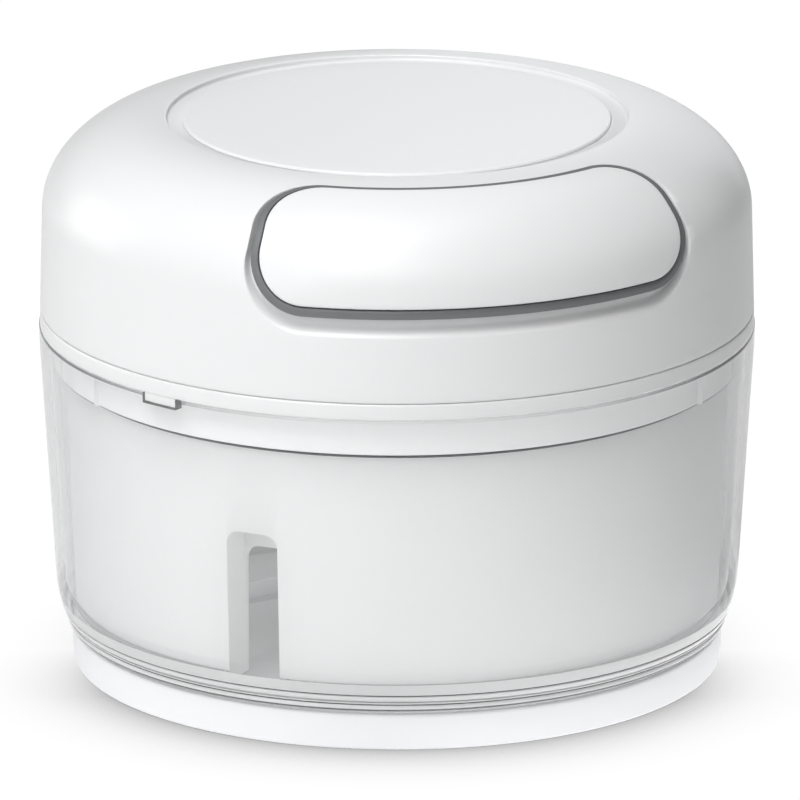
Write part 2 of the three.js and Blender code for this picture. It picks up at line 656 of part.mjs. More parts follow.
function makeHandleShell() {
  const plate = domeLayer(-HANDLE_PROUD, HANDLE_THICK - HANDLE_PROUD)
    .intersect(handleBlock(0, 0, 0));
  const bores = HANDLE_SCREWS.map((bearing) => (
    rodAlongBearing(HANDLE_SCREW_HOLE, HANDLE_SCREW_HEAD, HANDLE_SCREW_TIP + GAP, bearing)));
  return cut(plate, ...bores);
}

// A tray behind the handle's face: its rim shows as a border around the face.
function makeHandleBack() {
  const front = HANDLE_THICK - HANDLE_PROUD + GAP;
  const block = domeLayer(-BORDER_PROUD, BACK_DEPTH).intersect(borderBlock(0));
  const hollow = domeLayer(-2, front).intersect(handleBlock(GAP, GAP, GAP));
  const behind = LID_RADIUS - 2 * BACK_DEPTH;
  const headEnd = HANDLE_SCREW_HEAD + 1 + GAP;
  const bores = HANDLE_SCREWS.flatMap((bearing) => [
    rodAlongBearing(HANDLE_SCREW_HOLE, behind, LID_RADIUS, bearing),
    rodAlongBearing(2.2, behind, headEnd, bearing),
  ]);
  const cordHole = rodAlongY(ANCHOR_RADIUS + 0.4, -LID_RADIUS, -behind, SMALL_FACETS);
  return cut(block, hollow, cordHole, ...bores);
}

function makeCordAnchor() {
  return rodAlongY(ANCHOR_RADIUS, ANCHOR_Y - ANCHOR_LONG, ANCHOR_Y, SMALL_FACETS);
}

function makeHandleScrew(bearing) {
  const headTop = HANDLE_SCREW_HEAD + 1;
  return joined(
    rodAlongBearing(1.9, HANDLE_SCREW_HEAD, headTop, bearing),
    rodAlongBearing(1, headTop - 0.4, HANDLE_SCREW_TIP, bearing),
  );
}

// ---------------------------------------------------------------- materials and assembly
function plastic(color, roughness = 0.35, extra = {}) {
  return new THREE.MeshStandardMaterial({ color, roughness, metalness: 0, ...extra });
}

const WHITE = plastic(0xf1f2f2, 0.18);
const DARK_GREY = plastic(0x76797c, 0.4);
const CLEAR = plastic(0xeef2f3, 0.05, { transparent: true, opacity: 0.25 });
const NATURAL = plastic(0xe6e2d6, 0.45);
const RUBBER = plastic(0xd8dadb, 0.75);
const CORD = plastic(0xededea, 0.8);
const STEEL = new THREE.MeshStandardMaterial({ color: 0xc4c7ca, roughness: 0.25, metalness: 1 });

const chopper = new THREE.Group();

function addPiece(name, solid, material, place = [0, 0, 0]) {
  const mesh = new THREE.Mesh(toGeometry(solid), material);
  mesh.name = name;
  mesh.position.set(...place);
  chopper.add(mesh);
}

// base and bowl
addPiece('base_ring', makeBaseRing(), WHITE);
addPiece('bowl', makeBowl(), CLEAR);
addPiece('bowl_pin', rod(PIN_RADIUS, BOWL_FLOOR + GAP, PIN_TOP), STEEL);
addPiece('inner_drum', makeInnerDrum(), WHITE);

// blade unit
const spacerBottom = BLADE_LOW_Z + BLADE_THICK + GAP;
const collarBottom = BLADE_HIGH_Z + BLADE_THICK + GAP;
const onColumn = COLUMN_RADIUS + GAP;
addPiece('blade_column', makeBladeColumn(), WHITE);
addPiece('column_bush', makeColumnBush(), NATURAL);
addPiece('blade_lower', makeBlade(BLADE_LOW_Z, BLADE_LOW_BEARING), STEEL);
addPiece('blade_upper', makeBlade(BLADE_HIGH_Z, BLADE_HIGH_BEARING), STEEL);
addPiece('blade_spacer', tube(onColumn, SPACER_RADIUS, spacerBottom, BLADE_HIGH_Z - GAP), WHITE);
addPiece('blade_collar', tube(onColumn, SPACER_RADIUS, collarBottom, collarBottom + 4), WHITE);

// lid
addPiece('lid_shell', makeLidShell(), WHITE);
addPiece('top_cap', makeTopCap(), WHITE);
addPiece('lid_chassis', makeLidChassis(), WHITE);
addPiece('lid_gasket', makeGasket(), RUBBER);
CHASSIS_SCREWS.forEach(([radius, bearing], i) => {
  const headTop = PLATE_BOTTOM - GAP;
  const screw = makeScrew(2.8, CHASSIS_SCREW_HOLE - GAP, PLATE_BOTTOM - 2, headTop, CHASSIS_SCREW_TIP);
  addPiece(`chassis_screw_${i + 1}`, screw, STEEL, [...onPlan(radius, degrees(bearing)), 0]);
});

// drive
addPiece('drive_coupler', makeDriveCoupler(), NATURAL);
const onStem = STEM_RADIUS + GAP;
const sealTop = COLLAR_BOTTOM + 2;
addPiece('coupler_bush', tube(onStem, COLLAR_INNER - GAP, sealTop + GAP, COLLAR_TOP), NATURAL);
addPiece('coupler_seal', tube(onStem, COLLAR_INNER - GAP, COLLAR_BOTTOM, sealTop), RUBBER);
addPiece('pawl_carrier', makePawlCarrier(), NATURAL);
addPiece('pawl_1', makePawl(0), STEEL);
addPiece('pawl_2', makePawl(Math.PI), STEEL);

// reel
addPiece('reel', makeReel(), NATURAL);
addPiece('cord_winding', makeCordWinding(), CORD);
addPiece('reel_axle', rod(AXLE_RADIUS, PLATE_TOP + GAP, AXLE_TOP, MID_FACETS), STEEL);
addPiece('recoil_spring', makeRecoilSpring(), STEEL);
addPiece('spring_case', makeSpringCase(), NATURAL);
CASE_SCREWS.forEach(([radius, bearing], i) => {
  const headTop = CASE_TOP - EAR_THICK - GAP;
  const screw = makeScrew(2.4, CASE_SCREW_HOLE - GAP, headTop - 1.7, headTop, CASE_SCREW_TIP);
  addPiece(`case_screw_${i + 1}`, screw, STEEL, [...onPlan(radius, degrees(bearing)), 0]);
});

// cord and pull handle
addPiece('cord_guide', makeCordGuide(), NATURAL);
addPiece('cord_inner_run', makeCordInnerRun(), CORD);
addPiece('cord_outer_run', makeCordOuterRun(), CORD);
addPiece('handle_shell', makeHandleShell(), WHITE);
addPiece('handle_back', makeHandleBack(), DARK_GREY);
addPiece('cord_anchor', makeCordAnchor(), STEEL);
HANDLE_SCREWS.forEach((bearing, i) => {
  addPiece(`handle_screw_${i + 1}`, makeHandleScrew(bearing), STEEL);
});

export default chopper;
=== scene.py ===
"""The looks of a hand-pulled food chopper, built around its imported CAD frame.

Shapes are worked out in millimetres and turned into metres when a mesh is made.
A bearing is an angle from -Y towards +X, so the pull handle is at bearing 0.
"""

import json
import math

import bmesh
import bpy
import numpy as np
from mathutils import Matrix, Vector
from mathutils.geometry import delaunay_2d_cdt


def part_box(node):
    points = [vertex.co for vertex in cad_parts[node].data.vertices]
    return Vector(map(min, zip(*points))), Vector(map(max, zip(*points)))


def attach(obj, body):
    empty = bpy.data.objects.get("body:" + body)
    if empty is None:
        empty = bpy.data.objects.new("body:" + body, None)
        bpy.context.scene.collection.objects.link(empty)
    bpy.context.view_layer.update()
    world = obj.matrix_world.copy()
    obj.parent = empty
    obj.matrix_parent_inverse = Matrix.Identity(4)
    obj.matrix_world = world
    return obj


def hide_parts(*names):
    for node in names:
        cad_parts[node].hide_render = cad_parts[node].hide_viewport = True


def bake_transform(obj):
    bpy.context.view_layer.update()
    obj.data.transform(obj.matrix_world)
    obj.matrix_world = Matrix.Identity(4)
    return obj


MM = 0.001
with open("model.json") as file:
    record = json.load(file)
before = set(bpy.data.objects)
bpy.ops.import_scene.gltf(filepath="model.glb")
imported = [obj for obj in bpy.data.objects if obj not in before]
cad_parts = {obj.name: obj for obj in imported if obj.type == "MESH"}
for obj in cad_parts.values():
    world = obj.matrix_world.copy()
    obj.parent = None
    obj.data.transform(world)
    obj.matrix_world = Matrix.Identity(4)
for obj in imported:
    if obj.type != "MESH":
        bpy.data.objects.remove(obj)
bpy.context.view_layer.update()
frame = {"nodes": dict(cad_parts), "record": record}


# ------------------------------------------------------------------ sizes from the frame
def reach(node, axis=0):
    """How far a CAD node reaches along an axis, in millimetres."""
    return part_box(node)[1][axis] / MM


def floor_of(node, axis=2):
    """Where a CAD node starts along an axis, in millimetres."""
    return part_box(node)[0][axis] / MM


GAP = 0.3
BASE_TOP = reach("base_ring", 2)
BASE_RADIUS = reach("base_ring")
BOWL_TOP = reach("bowl", 2)
BOWL_RADIUS = reach("bowl")
BOWL_FLOOR = floor_of("bowl_pin") - GAP
DRUM_BOTTOM = floor_of("inner_drum")
DRUM_RADIUS = reach("inner_drum")
BAND_TOP = reach("lid_chassis", 2)
LID_FOOT = BAND_TOP + 0.04
LID_RADIUS = reach("lid_shell")
LID_TOP = reach("lid_shell", 2)
CAP_RADIUS = reach("top_cap")
CAP_TOP = reach("top_cap", 2)
HANDLE_BOTTOM = floor_of("handle_shell")
COLUMN_RADIUS = reach("blade_column")
BLADE_RADIUS = 46.0
CORD_Z = (floor_of("cord_anchor") + reach("cord_anchor", 2)) / 2
CORD_RADIUS = (reach("cord_outer_run", 2) - floor_of("cord_outer_run")) / 2

# Sizes that the frame's boxes don't give.
SHOULDER_Z = 84.4
SHOULDER_RADIUS = LID_RADIUS - 0.5
FLAT_RADIUS = 42.0
GROOVE_RADIUS = 41.6
GROOVE_DEPTH = 1.0
LID_WALL = 2.2
SKIRT_RADIUS = 61.3
SKIRT_BOTTOM = 55.5
LUG_RADIUS = 62.3
LUG_BEARINGS = (-104.5, 75.5)
LUG_HALF_ANGLE = 29.0
LUG_BOTTOM = 55.6
TAB_BEARINGS = (-55.8, 124.2)
TAB_WIDTH = 7.2
TAB_HEIGHT = 1.6
NOTCH_BEARING = -40.8
NOTCH_WIDTH = 10.0
NOTCH_TOP = 38.8
NOTCH_DEPTH = 8.0
THICK_TOP = 12.95  # the bowl's thick foot ends here
BEAD_TOP = 10.8
# The bowl's foot is painted dark between these heights, as shade in its grooves.
BOWL_GROOVES = ((8.66, 8.9), (9.26, 9.48), (10.56, 10.8))  # heights between the foot's beads
RIM_HEIGHT = 0.55

HANDLE_HALF_ANGLE = 37.6
HANDLE_INNER = 49.1
HANDLE_PROUD = 0.7
SIDE_FLARE = 0.2  # how much less than the dome the handle narrows towards its top
BORDER_PROUD = 0.3
PLATE_DEPTH = 1.6
BACK_DEPTH = 4.5
POCKET_DEPTH = 5.1
GUTTER_DEPTH = 1.7

EYELET_RADIUS = 2.3
POCKET_FLOOR_Y = POCKET_DEPTH - 64.1  # the dome is 64.1 out at the cord's height

ROUND = 192  # columns of the large turned pieces


# ------------------------------------------------------------------ mesh helpers
def placed(name, data):
    """A new object in the scene."""
    thing = bpy.data.objects.new(name, data)
    bpy.context.scene.collection.objects.link(thing)
    return thing


def make_piece(name, points, faces, sharp_angle=32.0):
    """A smooth-shaded object from millimetre points, with its creases kept sharp."""
    mesh = bpy.data.meshes.new(name)
    mesh.from_pydata([tuple(np.asarray(p) * MM) for p in points], [], faces)
    shape = bmesh.new()
    shape.from_mesh(mesh)
    bmesh.ops.remove_doubles(shape, verts=shape.verts, dist=1e-7)
    bmesh.ops.dissolve_degenerate(shape, edges=shape.edges, dist=1e-8)
    bmesh.ops.recalc_face_normals(shape, faces=shape.faces)
    shape.to_mesh(mesh)
    shape.free()
    piece = placed(name, mesh)
    smooth(piece, sharp_angle)
    return piece


def smooth(piece, sharp_angle=32.0):
    """Shades a piece smooth and marks the edges that stay sharp."""
    piece.data.shade_smooth()
    piece.data.set_sharp_from_angle(angle=math.radians(sharp_angle))


def rounded(outline, steps=4):
    """A closed outline of (r, z, corner radius), with its corners turned into arcs."""
    points = [np.array(corner[:2], float) for corner in outline]
    result = []
    for i, corner in enumerate(points):
        radius = outline[i][2] if len(outline[i]) > 2 else 0.0
        if radius <= 0:
            result.append(corner)
            continue
        before, after = points[i - 1] - corner, points[(i + 1) % len(points)] - corner
        room = 0.48 * min(np.linalg.norm(before), np.linalg.norm(after))
        before, after = before / np.linalg.norm(before), after / np.linalg.norm(after)
        half = math.acos(np.clip(before @ after, -1, 1)) / 2
        setback = min(radius / math.tan(half), room)
        start, end = corner + before * setback, corner + after * setback
        for share in np.linspace(0, 1, steps + 1):
            near = start + (corner - start) * share
            far = corner + (end - corner) * share
            result.append(near + (far - near) * share)
    return result


def on_plan(radius, bearing):
    """The x and y of a point at a plan radius and a bearing in degrees."""
    turn = math.radians(bearing)
    return radius * math.sin(turn), -radius * math.cos(turn)


def revolved(outline, bearings=None, capped=False):
    """Points and faces of a closed outline turned about Z, all round or between bearings."""
    full = bearings is None
    if full:
        bearings = np.arange(ROUND) * 360.0 / ROUND
    points = [(*on_plan(r, bearing), z) for bearing in bearings for r, z in outline]
    rows = len(outline)
    columns = len(bearings)
    faces = []
    for i in range(columns if full else columns - 1):
        here, there = i * rows, (i + 1) % columns * rows
        for j in range(rows):
            k = (j + 1) % rows
            faces.append((here + j, there + j, there + k, here + k))
    if capped:
        faces.append(tuple(range(rows)))
        faces.append(tuple((columns - 1) * rows + j for j in range(rows)))
    return points, faces


def turned_piece(name, outline, sharp_angle=32.0):
    """A piece turned all round from an outline, its corners rounded."""
    return make_piece(name, *revolved(rounded(outline)), sharp_angle)


def joined(name, pieces):
    """One object made of several, each of which goes."""
    shape = bmesh.new()
    for piece in pieces:
        shape.from_mesh(piece.data)
    mesh = bpy.data.meshes.new(name)
    shape.to_mesh(mesh)
    shape.free()
    for piece in pieces:
        bpy.data.objects.remove(piece)
    return placed(name, mesh)


def apply_modifiers(piece, sharp_angle=32.0):
    """Turns what a piece's modifiers make into its mesh."""
    bpy.context.view_layer.update()
    graph = bpy.context.evaluated_depsgraph_get()
    mesh = bpy.data.meshes.new_from_object(piece.evaluated_get(graph))
    piece.modifiers.clear()
    piece.data = mesh
    smooth(piece, sharp_angle)


def carve(piece, cutters, sharp_angle=32.0, operation="DIFFERENCE"):
    """Cuts each cutter out of a piece, or joins it on, and removes the cutters."""
    for cutter in cutters:
        modifier = piece.modifiers.new("cut", "BOOLEAN")
        modifier.operation = operation
        modifier.solver = "EXACT"
        modifier.object = cutter
    apply_modifiers(piece, sharp_angle)
    for cutter in cutters:
        bpy.data.objects.remove(cutter)


def prism(name, outline, near, far, bearing=0.0):
    """An outline of (across, up) pushed radially from one plan radius to another."""
    across = np.array([math.cos(math.radians(bearing)), math.sin(math.radians(bearing)), 0])
    outward = np.array([*on_plan(1, bearing), 0])
    ends = [[across * x + outward * radius + (0, 0, z) for x, z in outline]
            for radius in (near, far)]
    count = len(outline)
    faces = [tuple(range(count)), tuple(range(2 * count - 1, count - 1, -1))]
    for i in range(count):
        j = (i + 1) % count
        faces.append((i, j, count + j, count + i))
    return make_piece(name, ends[0] + ends[1], faces)


# ------------------------------------------------------------------ materials
def node_at(tree, kind, **inputs):
    """A new node with some of its inputs set."""
    node = tree.nodes.new(kind)
    for name, value in inputs.items():
        node.inputs[name.replace("_", " ")].default_value = value
    return node


def noise(tree, scale, detail=3.0):
    """Noise in the object's own coordinates, from 0 to 1."""
    place = tree.nodes.new("ShaderNodeTexCoord")
    grain = node_at(tree, "ShaderNodeTexNoise", Scale=scale, Detail=detail)
    tree.links.new(place.outputs["Object"], grain.inputs["Vector"])
    return grain.outputs["Fac"]


def mapped(tree, value, from_low, from_high, to_low, to_high):
    """A value stretched from one range to another, and held at the ends of it."""
    stretch = tree.nodes.new("ShaderNodeMapRange")
    stretch.inputs["From Min"].default_value = from_low
    stretch.inputs["From Max"].default_value = from_high
    stretch.inputs["To Min"].default_value = to_low
    stretch.inputs["To Max"].default_value = to_high
    tree.links.new(value, stretch.inputs["Value"])
    return stretch.outputs["Result"]


def camera_switch(tree, unseen, seen):
    """One shader for the camera's own rays and another for all the rest."""
    path = tree.nodes.new("ShaderNodeLightPath")
    mix = tree.nodes.new("ShaderNodeMixShader")
    tree.links.new(path.outputs["Is Camera Ray"], mix.inputs["Fac"])
    tree.links.new(unseen.outputs[0], mix.inputs[1])
    tree.links.new(seen.outputs[0], mix.inputs[2])
    return mix.outputs[0]


def surface(name, color, roughness, metallic=0.0, grain=900.0, bump=0.02, vary=0.04, **more):
    """A material whose colour, roughness and bump vary a little, as moulded parts do."""
    material = bpy.data.materials.new(name)
    material.use_nodes = True
    tree = material.node_tree
    shader = tree.nodes["Principled BSDF"]
    shader.inputs["Metallic"].default_value = metallic
    for key, value in more.items():
        shader.inputs[key.replace("_", " ")].default_value = value
    blotches = noise(tree, 35.0)
    tint = tree.nodes.new("ShaderNodeMix")
    tint.data_type = "RGBA"
    tint.inputs["A"].default_value = (*[c * (1 - vary) for c in color], 1)
    tint.inputs["B"].default_value = (*[min(1, c * (1 + vary)) for c in color], 1)
    tree.links.new(blotches, tint.inputs["Factor"])
    tree.links.new(tint.outputs["Result"], shader.inputs["Base Color"])
    fine = noise(tree, grain)
    shine = mapped(tree, fine, 0.3, 0.7, roughness * 0.92, roughness * 1.08)
    tree.links.new(shine, shader.inputs["Roughness"])
    relief = node_at(tree, "ShaderNodeBump", Strength=bump, Distance=0.0002)
    tree.links.new(fine, relief.inputs["Height"])
    tree.links.new(relief.outputs["Normal"], shader.inputs["Normal"])
    return material


def let_light_through(material, share):
    """Mixes some translucency into a thin-walled material."""
    tree = material.node_tree
    output = tree.nodes["Material Output"]
    shader = tree.nodes["Principled BSDF"]
    glow = tree.nodes.new("ShaderNodeBsdfTranslucent")
    glow.inputs["Color"].default_value = (0.9, 0.9, 0.9, 1)
    mix = tree.nodes.new("ShaderNodeMixShader")
    mix.inputs["Fac"].default_value = share
    tree.links.new(shader.outputs[0], mix.inputs[1])
    tree.links.new(glow.outputs[0], mix.inputs[2])
    tree.links.new(mix.outputs[0], output.inputs["Surface"])
    return material


def pass_unseen_rays(material):
    """Lets every ray but the camera's go straight through, so clear parts cast no shade."""
    tree = material.node_tree
    straight_through = tree.nodes.new("ShaderNodeBsdfTransparent")
    switch = camera_switch(tree, straight_through, tree.nodes["Principled BSDF"])
    tree.links.new(switch, tree.nodes["Material Output"].inputs["Surface"])
    return material


def clear_surface(name, color, low, high, steepness=3.0, full_at=1.0):
    """Clear moulded plastic: see-through face on, denser towards grazing."""
    material = surface(name, color, 0.05, bump=0.01, vary=0.01, IOR=1.49)
    tree = material.node_tree
    edge = node_at(tree, "ShaderNodeLayerWeight", Blend=0.5)
    power = tree.nodes.new("ShaderNodeMath")
    power.operation = "POWER"
    power.inputs[1].default_value = steepness
    tree.links.new(edge.outputs["Facing"], power.inputs[0])
    share = mapped(tree, power.outputs[0], 0.0, full_at, low, high)
    tree.links.new(share, tree.nodes["Principled BSDF"].inputs["Alpha"])
    return pass_unseen_rays(material)


WHITE = surface("white_gloss", (0.78, 0.785, 0.79), 0.3, IOR=1.5, vary=0.006)
CAP_WHITE = surface("cap_white", (0.84, 0.845, 0.85), 0.35, IOR=1.5, vary=0.006)
DRUM_WHITE = let_light_through(surface("drum_white", (0.88, 0.885, 0.89), 0.4, vary=0.01), 0.25)
# Painted glow: a white that gives off light, for the inner faces of the drum and of the base cup,
# standing in for light let through thin white plastic.
INSIDE_PAINTED_GLOW = surface("inside_painted_glow", (0.8, 0.8, 0.8), 0.5, vary=0.01, Emission_Strength=0.24,
                      Emission_Color=(1, 1, 1, 1))
# A weaker painted glow, for the side walls of the drum's notch.
NOTCH_PAINTED_GLOW = surface("notch_painted_glow", (0.8, 0.8, 0.8), 0.5, vary=0.01, Emission_Strength=0.1,
                      Emission_Color=(1, 1, 1, 1))
# Painted light: the skirt is a lighter copy of the lid's white, to offset the shade under the band's
# overhang.
SKIRT_PAINTED_LIGHT = surface("skirt_painted_light", (0.92, 0.925, 0.93), 0.35, vary=0.006)
BASE_WHITE = surface("base_white", (0.88, 0.885, 0.9), 0.45, IOR=1.45, vary=0.008)
# Grey satin for the handle's border; also used as painted shade along the lugs' lower edges and on
# the drum's top edge under the skirt.
GREY_AND_PAINTED_SHADE = surface("grey_satin_and_painted_shade", (0.15, 0.155, 0.16), 0.4, vary=0.05)
CLEAR = clear_surface("clear_plastic", (0.6, 0.61, 0.62), 0.03, 0.85, 2.2)
CLEAR_THICK = pass_unseen_rays(surface("clear_thick_edge", (0.7, 0.705, 0.71), 0.08, bump=0.01,
                                       vary=0.02, Alpha=0.85))
# Painted shade along the outside of the bowl's rim, in the gap under the lid's band; denser towards
# grazing.
CLEAR_RIM_PAINTED_SHADE = clear_surface("clear_rim_painted_shade", (0.16, 0.165, 0.17), 0.0, 1.0, 1.2, 0.5)
# These two block light, so that the beads of the bowl's foot are shaded; the second is also painted
# dark.
CLEAR_BEAD = surface("clear_bead", (0.74, 0.745, 0.75), 0.08, bump=0.01, vary=0.02, Alpha=0.85)
# Painted shade in the grooves between the beads and under the foot; it also darkens the cut walls of
# the key slots.
CLEAR_CUT_AND_PAINTED_SHADE = surface("clear_cut_and_painted_shade", (0.13, 0.135, 0.14), 0.1, bump=0.01, vary=0.02, Alpha=0.85)
NATURAL = surface("natural_plastic", (0.7, 0.68, 0.6), 0.45, vary=0.03)
RUBBER = surface("seal_rubber", (0.6, 0.61, 0.62), 0.7, grain=1400.0, bump=0.1)
STEEL = surface("steel", (0.62, 0.63, 0.64), 0.22, metallic=1.0, grain=2200.0, bump=0.04)


def braided_cord():
    """White braid: a diagonal wave along the cord lifts its strands."""
    material = surface("cord_braid", (0.8, 0.8, 0.78), 0.8, grain=2500.0, bump=0.3, vary=0.08)
    tree = material.node_tree
    place = tree.nodes.new("ShaderNodeTexCoord")
    wave = node_at(tree, "ShaderNodeTexWave", Scale=260.0, Distortion=1.0)
    wave.bands_direction = "DIAGONAL"
    tree.links.new(place.outputs["Object"], wave.inputs["Vector"])
    strands = node_at(tree, "ShaderNodeBump", Strength=0.6, Distance=0.0003)
    tree.links.new(wave.outputs["Fac"], strands.inputs["Height"])
    tree.links.new(strands.outputs["Normal"], tree.nodes["Principled BSDF"].inputs["Normal"])
    return material


CORD = braided_cord()
SLOT_MATERIALS = {
    "white_plastic": WHITE,
    "clear_plastic": CLEAR,
    "grey_plastic": GREY_AND_PAINTED_SHADE,
    "natural_plastic": NATURAL,
    "seal_rubber": RUBBER,
    "cord": CORD,
    "steel": STEEL,
}


def settle(piece, material, body, node):
    """Gives a finished piece its material and body, and hides the CAD node that it stands in for."""
    piece.data.materials.clear()
    piece.data.materials.append(material)
    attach(piece, body)
    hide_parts(node)


# ------------------------------------------------------------------ the dome
def dome_table(count=600):
    """The lid's outside from foot to flat top: length, radius, height and normal."""
    turn = np.linspace(0, math.pi / 2, count)
    reach_r, reach_z = SHOULDER_RADIUS - FLAT_RADIUS, LID_TOP - SHOULDER_Z
    radius = np.concatenate([[LID_RADIUS], FLAT_RADIUS + reach_r * np.cos(turn)])
    height = np.concatenate([[LID_FOOT], SHOULDER_Z + reach_z * np.sin(turn)])
    length = np.concatenate([[0], np.cumsum(np.hypot(np.diff(radius), np.diff(height)))])
    out_r, out_z = np.gradient(height, length), -np.gradient(radius, length)
    size = np.hypot(out_r, out_z)
    return length, radius, height, out_r / size, out_z / size


LENGTH, RADIUS, HEIGHT, OUT_R, OUT_Z = dome_table()


def dome_ring(s, depth=0.0):
    """Plan radius and height of a point on the dome, moved in by a depth."""
    radius = np.interp(s, LENGTH, RADIUS) - depth * np.interp(s, LENGTH, OUT_R)
    height = np.interp(s, LENGTH, HEIGHT) - depth * np.interp(s, LENGTH, OUT_Z)
    return radius, height


def length_at_height(z):
    """How far up the dome from its foot a height is reached."""
    return float(np.interp(z, HEIGHT, LENGTH))


def length_at_radius(r):
    """How far up the dome from its foot a plan radius is reached."""
    return float(np.interp(-r, -RADIUS, LENGTH))


def from_flat(x, s, depth):
    """A point in space from its place on the flattened dome, across and up."""
    bearing = x / np.interp(s, LENGTH, RADIUS)
    radius, height = dome_ring(s, depth)
    return np.stack([radius * np.sin(bearing), -radius * np.cos(bearing), height], axis=-1)


def handle_outline(side, low, top, low_corner, top_corner, count=480):
    """The handle's outline on the flattened dome, grown at its sides, bottom and top."""
    start = length_at_height(HANDLE_BOTTOM) - low
    end = length_at_radius(HANDLE_INNER) + top
    half = math.radians(HANDLE_HALF_ANGLE) + side / LID_RADIUS
    low_turn = low_corner / float(np.interp(start, LENGTH, RADIUS))
    top_turn = top_corner / float(np.interp(end, LENGTH, RADIUS))
    low_rise, top_rise = low_corner * 1.1, top_corner * 1.3
    arc = np.linspace(0, math.pi / 2, 14)
    bearing = np.concatenate([
        np.linspace(0, half - low_turn, 20)[:-1],
        half - low_turn + low_turn * np.sin(arc),
        half - top_turn * (1 - np.cos(arc)),
        np.linspace(half - top_turn, 0, 20)[1:],
    ])
    s = np.concatenate([
        np.full(19, start),
        start + low_rise * (1 - np.cos(arc)),
        end - top_rise * (1 - np.sin(arc)),
        np.full(19, end),
    ])
    bearing = np.concatenate([bearing, -bearing[-2:0:-1]])
    s = np.concatenate([s, s[-2:0:-1]])
    radius = np.interp(s, LENGTH, RADIUS)
    flare = 1 + SIDE_FLARE * (1 - radius / LID_RADIUS)
    x = bearing * flare * radius
    loop = np.stack([np.append(x, x[0]), np.append(s, s[0])], axis=1)
    walked = np.concatenate([[0], np.cumsum(np.linalg.norm(np.diff(loop, axis=0), axis=1))])
    even = np.linspace(0, walked[-1], count, endpoint=False)
    return np.stack([np.interp(even, walked, loop[:, k]) for k in (0, 1)], axis=1)


def inside(points, outline):
    """Whether each point lies inside a closed outline."""
    crossings = np.zeros(len(points), int)
    for a, b in zip(outline, np.roll(outline, -1, axis=0)):
        if a[1] == b[1]:
            continue
        straddles = (a[1] > points[:, 1]) != (b[1] > points[:, 1])
        x_there = a[0] + (points[:, 1] - a[1]) * (b[0] - a[0]) / (b[1] - a[1])
        crossings += straddles & (points[:, 0] < x_there)
    return crossings % 2 == 1


def distance_to(points, outline):
    """How far each point is from the nearest side of a closed outline."""
    best = np.full(len(points), np.inf)
    for a, b in zip(outline, np.roll(outline, -1, axis=0)):
        edge = b - a
        share = np.clip(((points - a) @ edge) / (edge @ edge), 0, 1)
        best = np.minimum(best, np.hypot(*(points - a - share[:, None] * edge).T))
    return best


def panel_outline():
    """The edge of the handle's white panel."""
    return handle_outline(0.0, 0.0, 0.0, 8.5, 8.0)


def border_outline():
    """The edge of the grey border around the panel."""
    return handle_outline(1.75, 1.9, 1.2, 10.2, 8.8)


def pocket_outline():
    """The edge of the pocket that the handle sits in."""
    return handle_outline(2.15, 2.3, 1.45, 10.5, 9.0)


def gutter_outline():
    """Where the gutter around the handle meets the lid's face."""
    return handle_outline(2.9, 5.5, 1.65, 11.5, 9.3)


def loft(loops):
    """Points and quads of a run of (outline, depth) loops over the dome."""
    points = np.concatenate([from_flat(flat[:, 0], flat[:, 1], depth) for flat, depth in loops])
    count = len(loops[0][0])
    faces = []
    for j in range(len(loops) - 1):
        for i in range(count):
            k = (i + 1) % count
            here, there = j * count, (j + 1) * count
            faces.append((here + i, here + k, there + k, there + i))
    return points, faces


def between(outer, inner, share):
    """An outline part of the way from one to another."""
    return outer + (inner - outer) * share


def spine_of(outline):
    """The middle line that an outline closes down to."""
    low, high = outline[:, 1].min(), outline[:, 1].max()
    span = np.abs(outline[:, 0]).max() - (high - low) / 2
    across = np.clip(outline[:, 0], -span, span)
    return np.stack([across, np.full(len(across), (low + high) / 2)], axis=1)


def closing(outline, depth, steps=10):
    """Loops that close an outline down to its spine at one depth."""
    spine = spine_of(outline)
    return [(between(outline, spine, share), depth) for share in np.linspace(0, 1, steps)]


# ------------------------------------------------------------------ lid shell
COLUMNS = 240
PATCH_HALF_ANGLE = 48.0
PATCH_LOW_Z = 75.0
PATCH_HIGH_RADIUS = 45.5


def lid_lengths():
    """Rings of the lid's outside, as lengths along the dome from its foot."""
    lip = 0.45
    low, high = length_at_height(PATCH_LOW_Z), length_at_radius(PATCH_HIGH_RADIUS)
    straight = np.linspace(lip, low, 9)
    curved = np.linspace(low, high, 34)
    return np.concatenate([straight[:-1], curved, np.linspace(high, LENGTH[-1], 6)[1:]])


def bulge(bearing, s):
    """How far the lid's inner face stands back behind the handle's pocket."""
    sideways = 1 - smooth_step((np.degrees(np.abs(bearing)) - 41) / 6)
    low, high = length_at_height(PATCH_LOW_Z), length_at_radius(PATCH_HIGH_RADIUS - 1.5)
    upwards = smooth_step((s - low) / 3) * smooth_step((high - s) / 3)
    return POCKET_DEPTH * sideways * upwards


def smooth_step(share):
    """A share from 0 to 1 that starts and ends gently."""
    share = np.clip(share, 0, 1)
    return share * share * (3 - 2 * share)


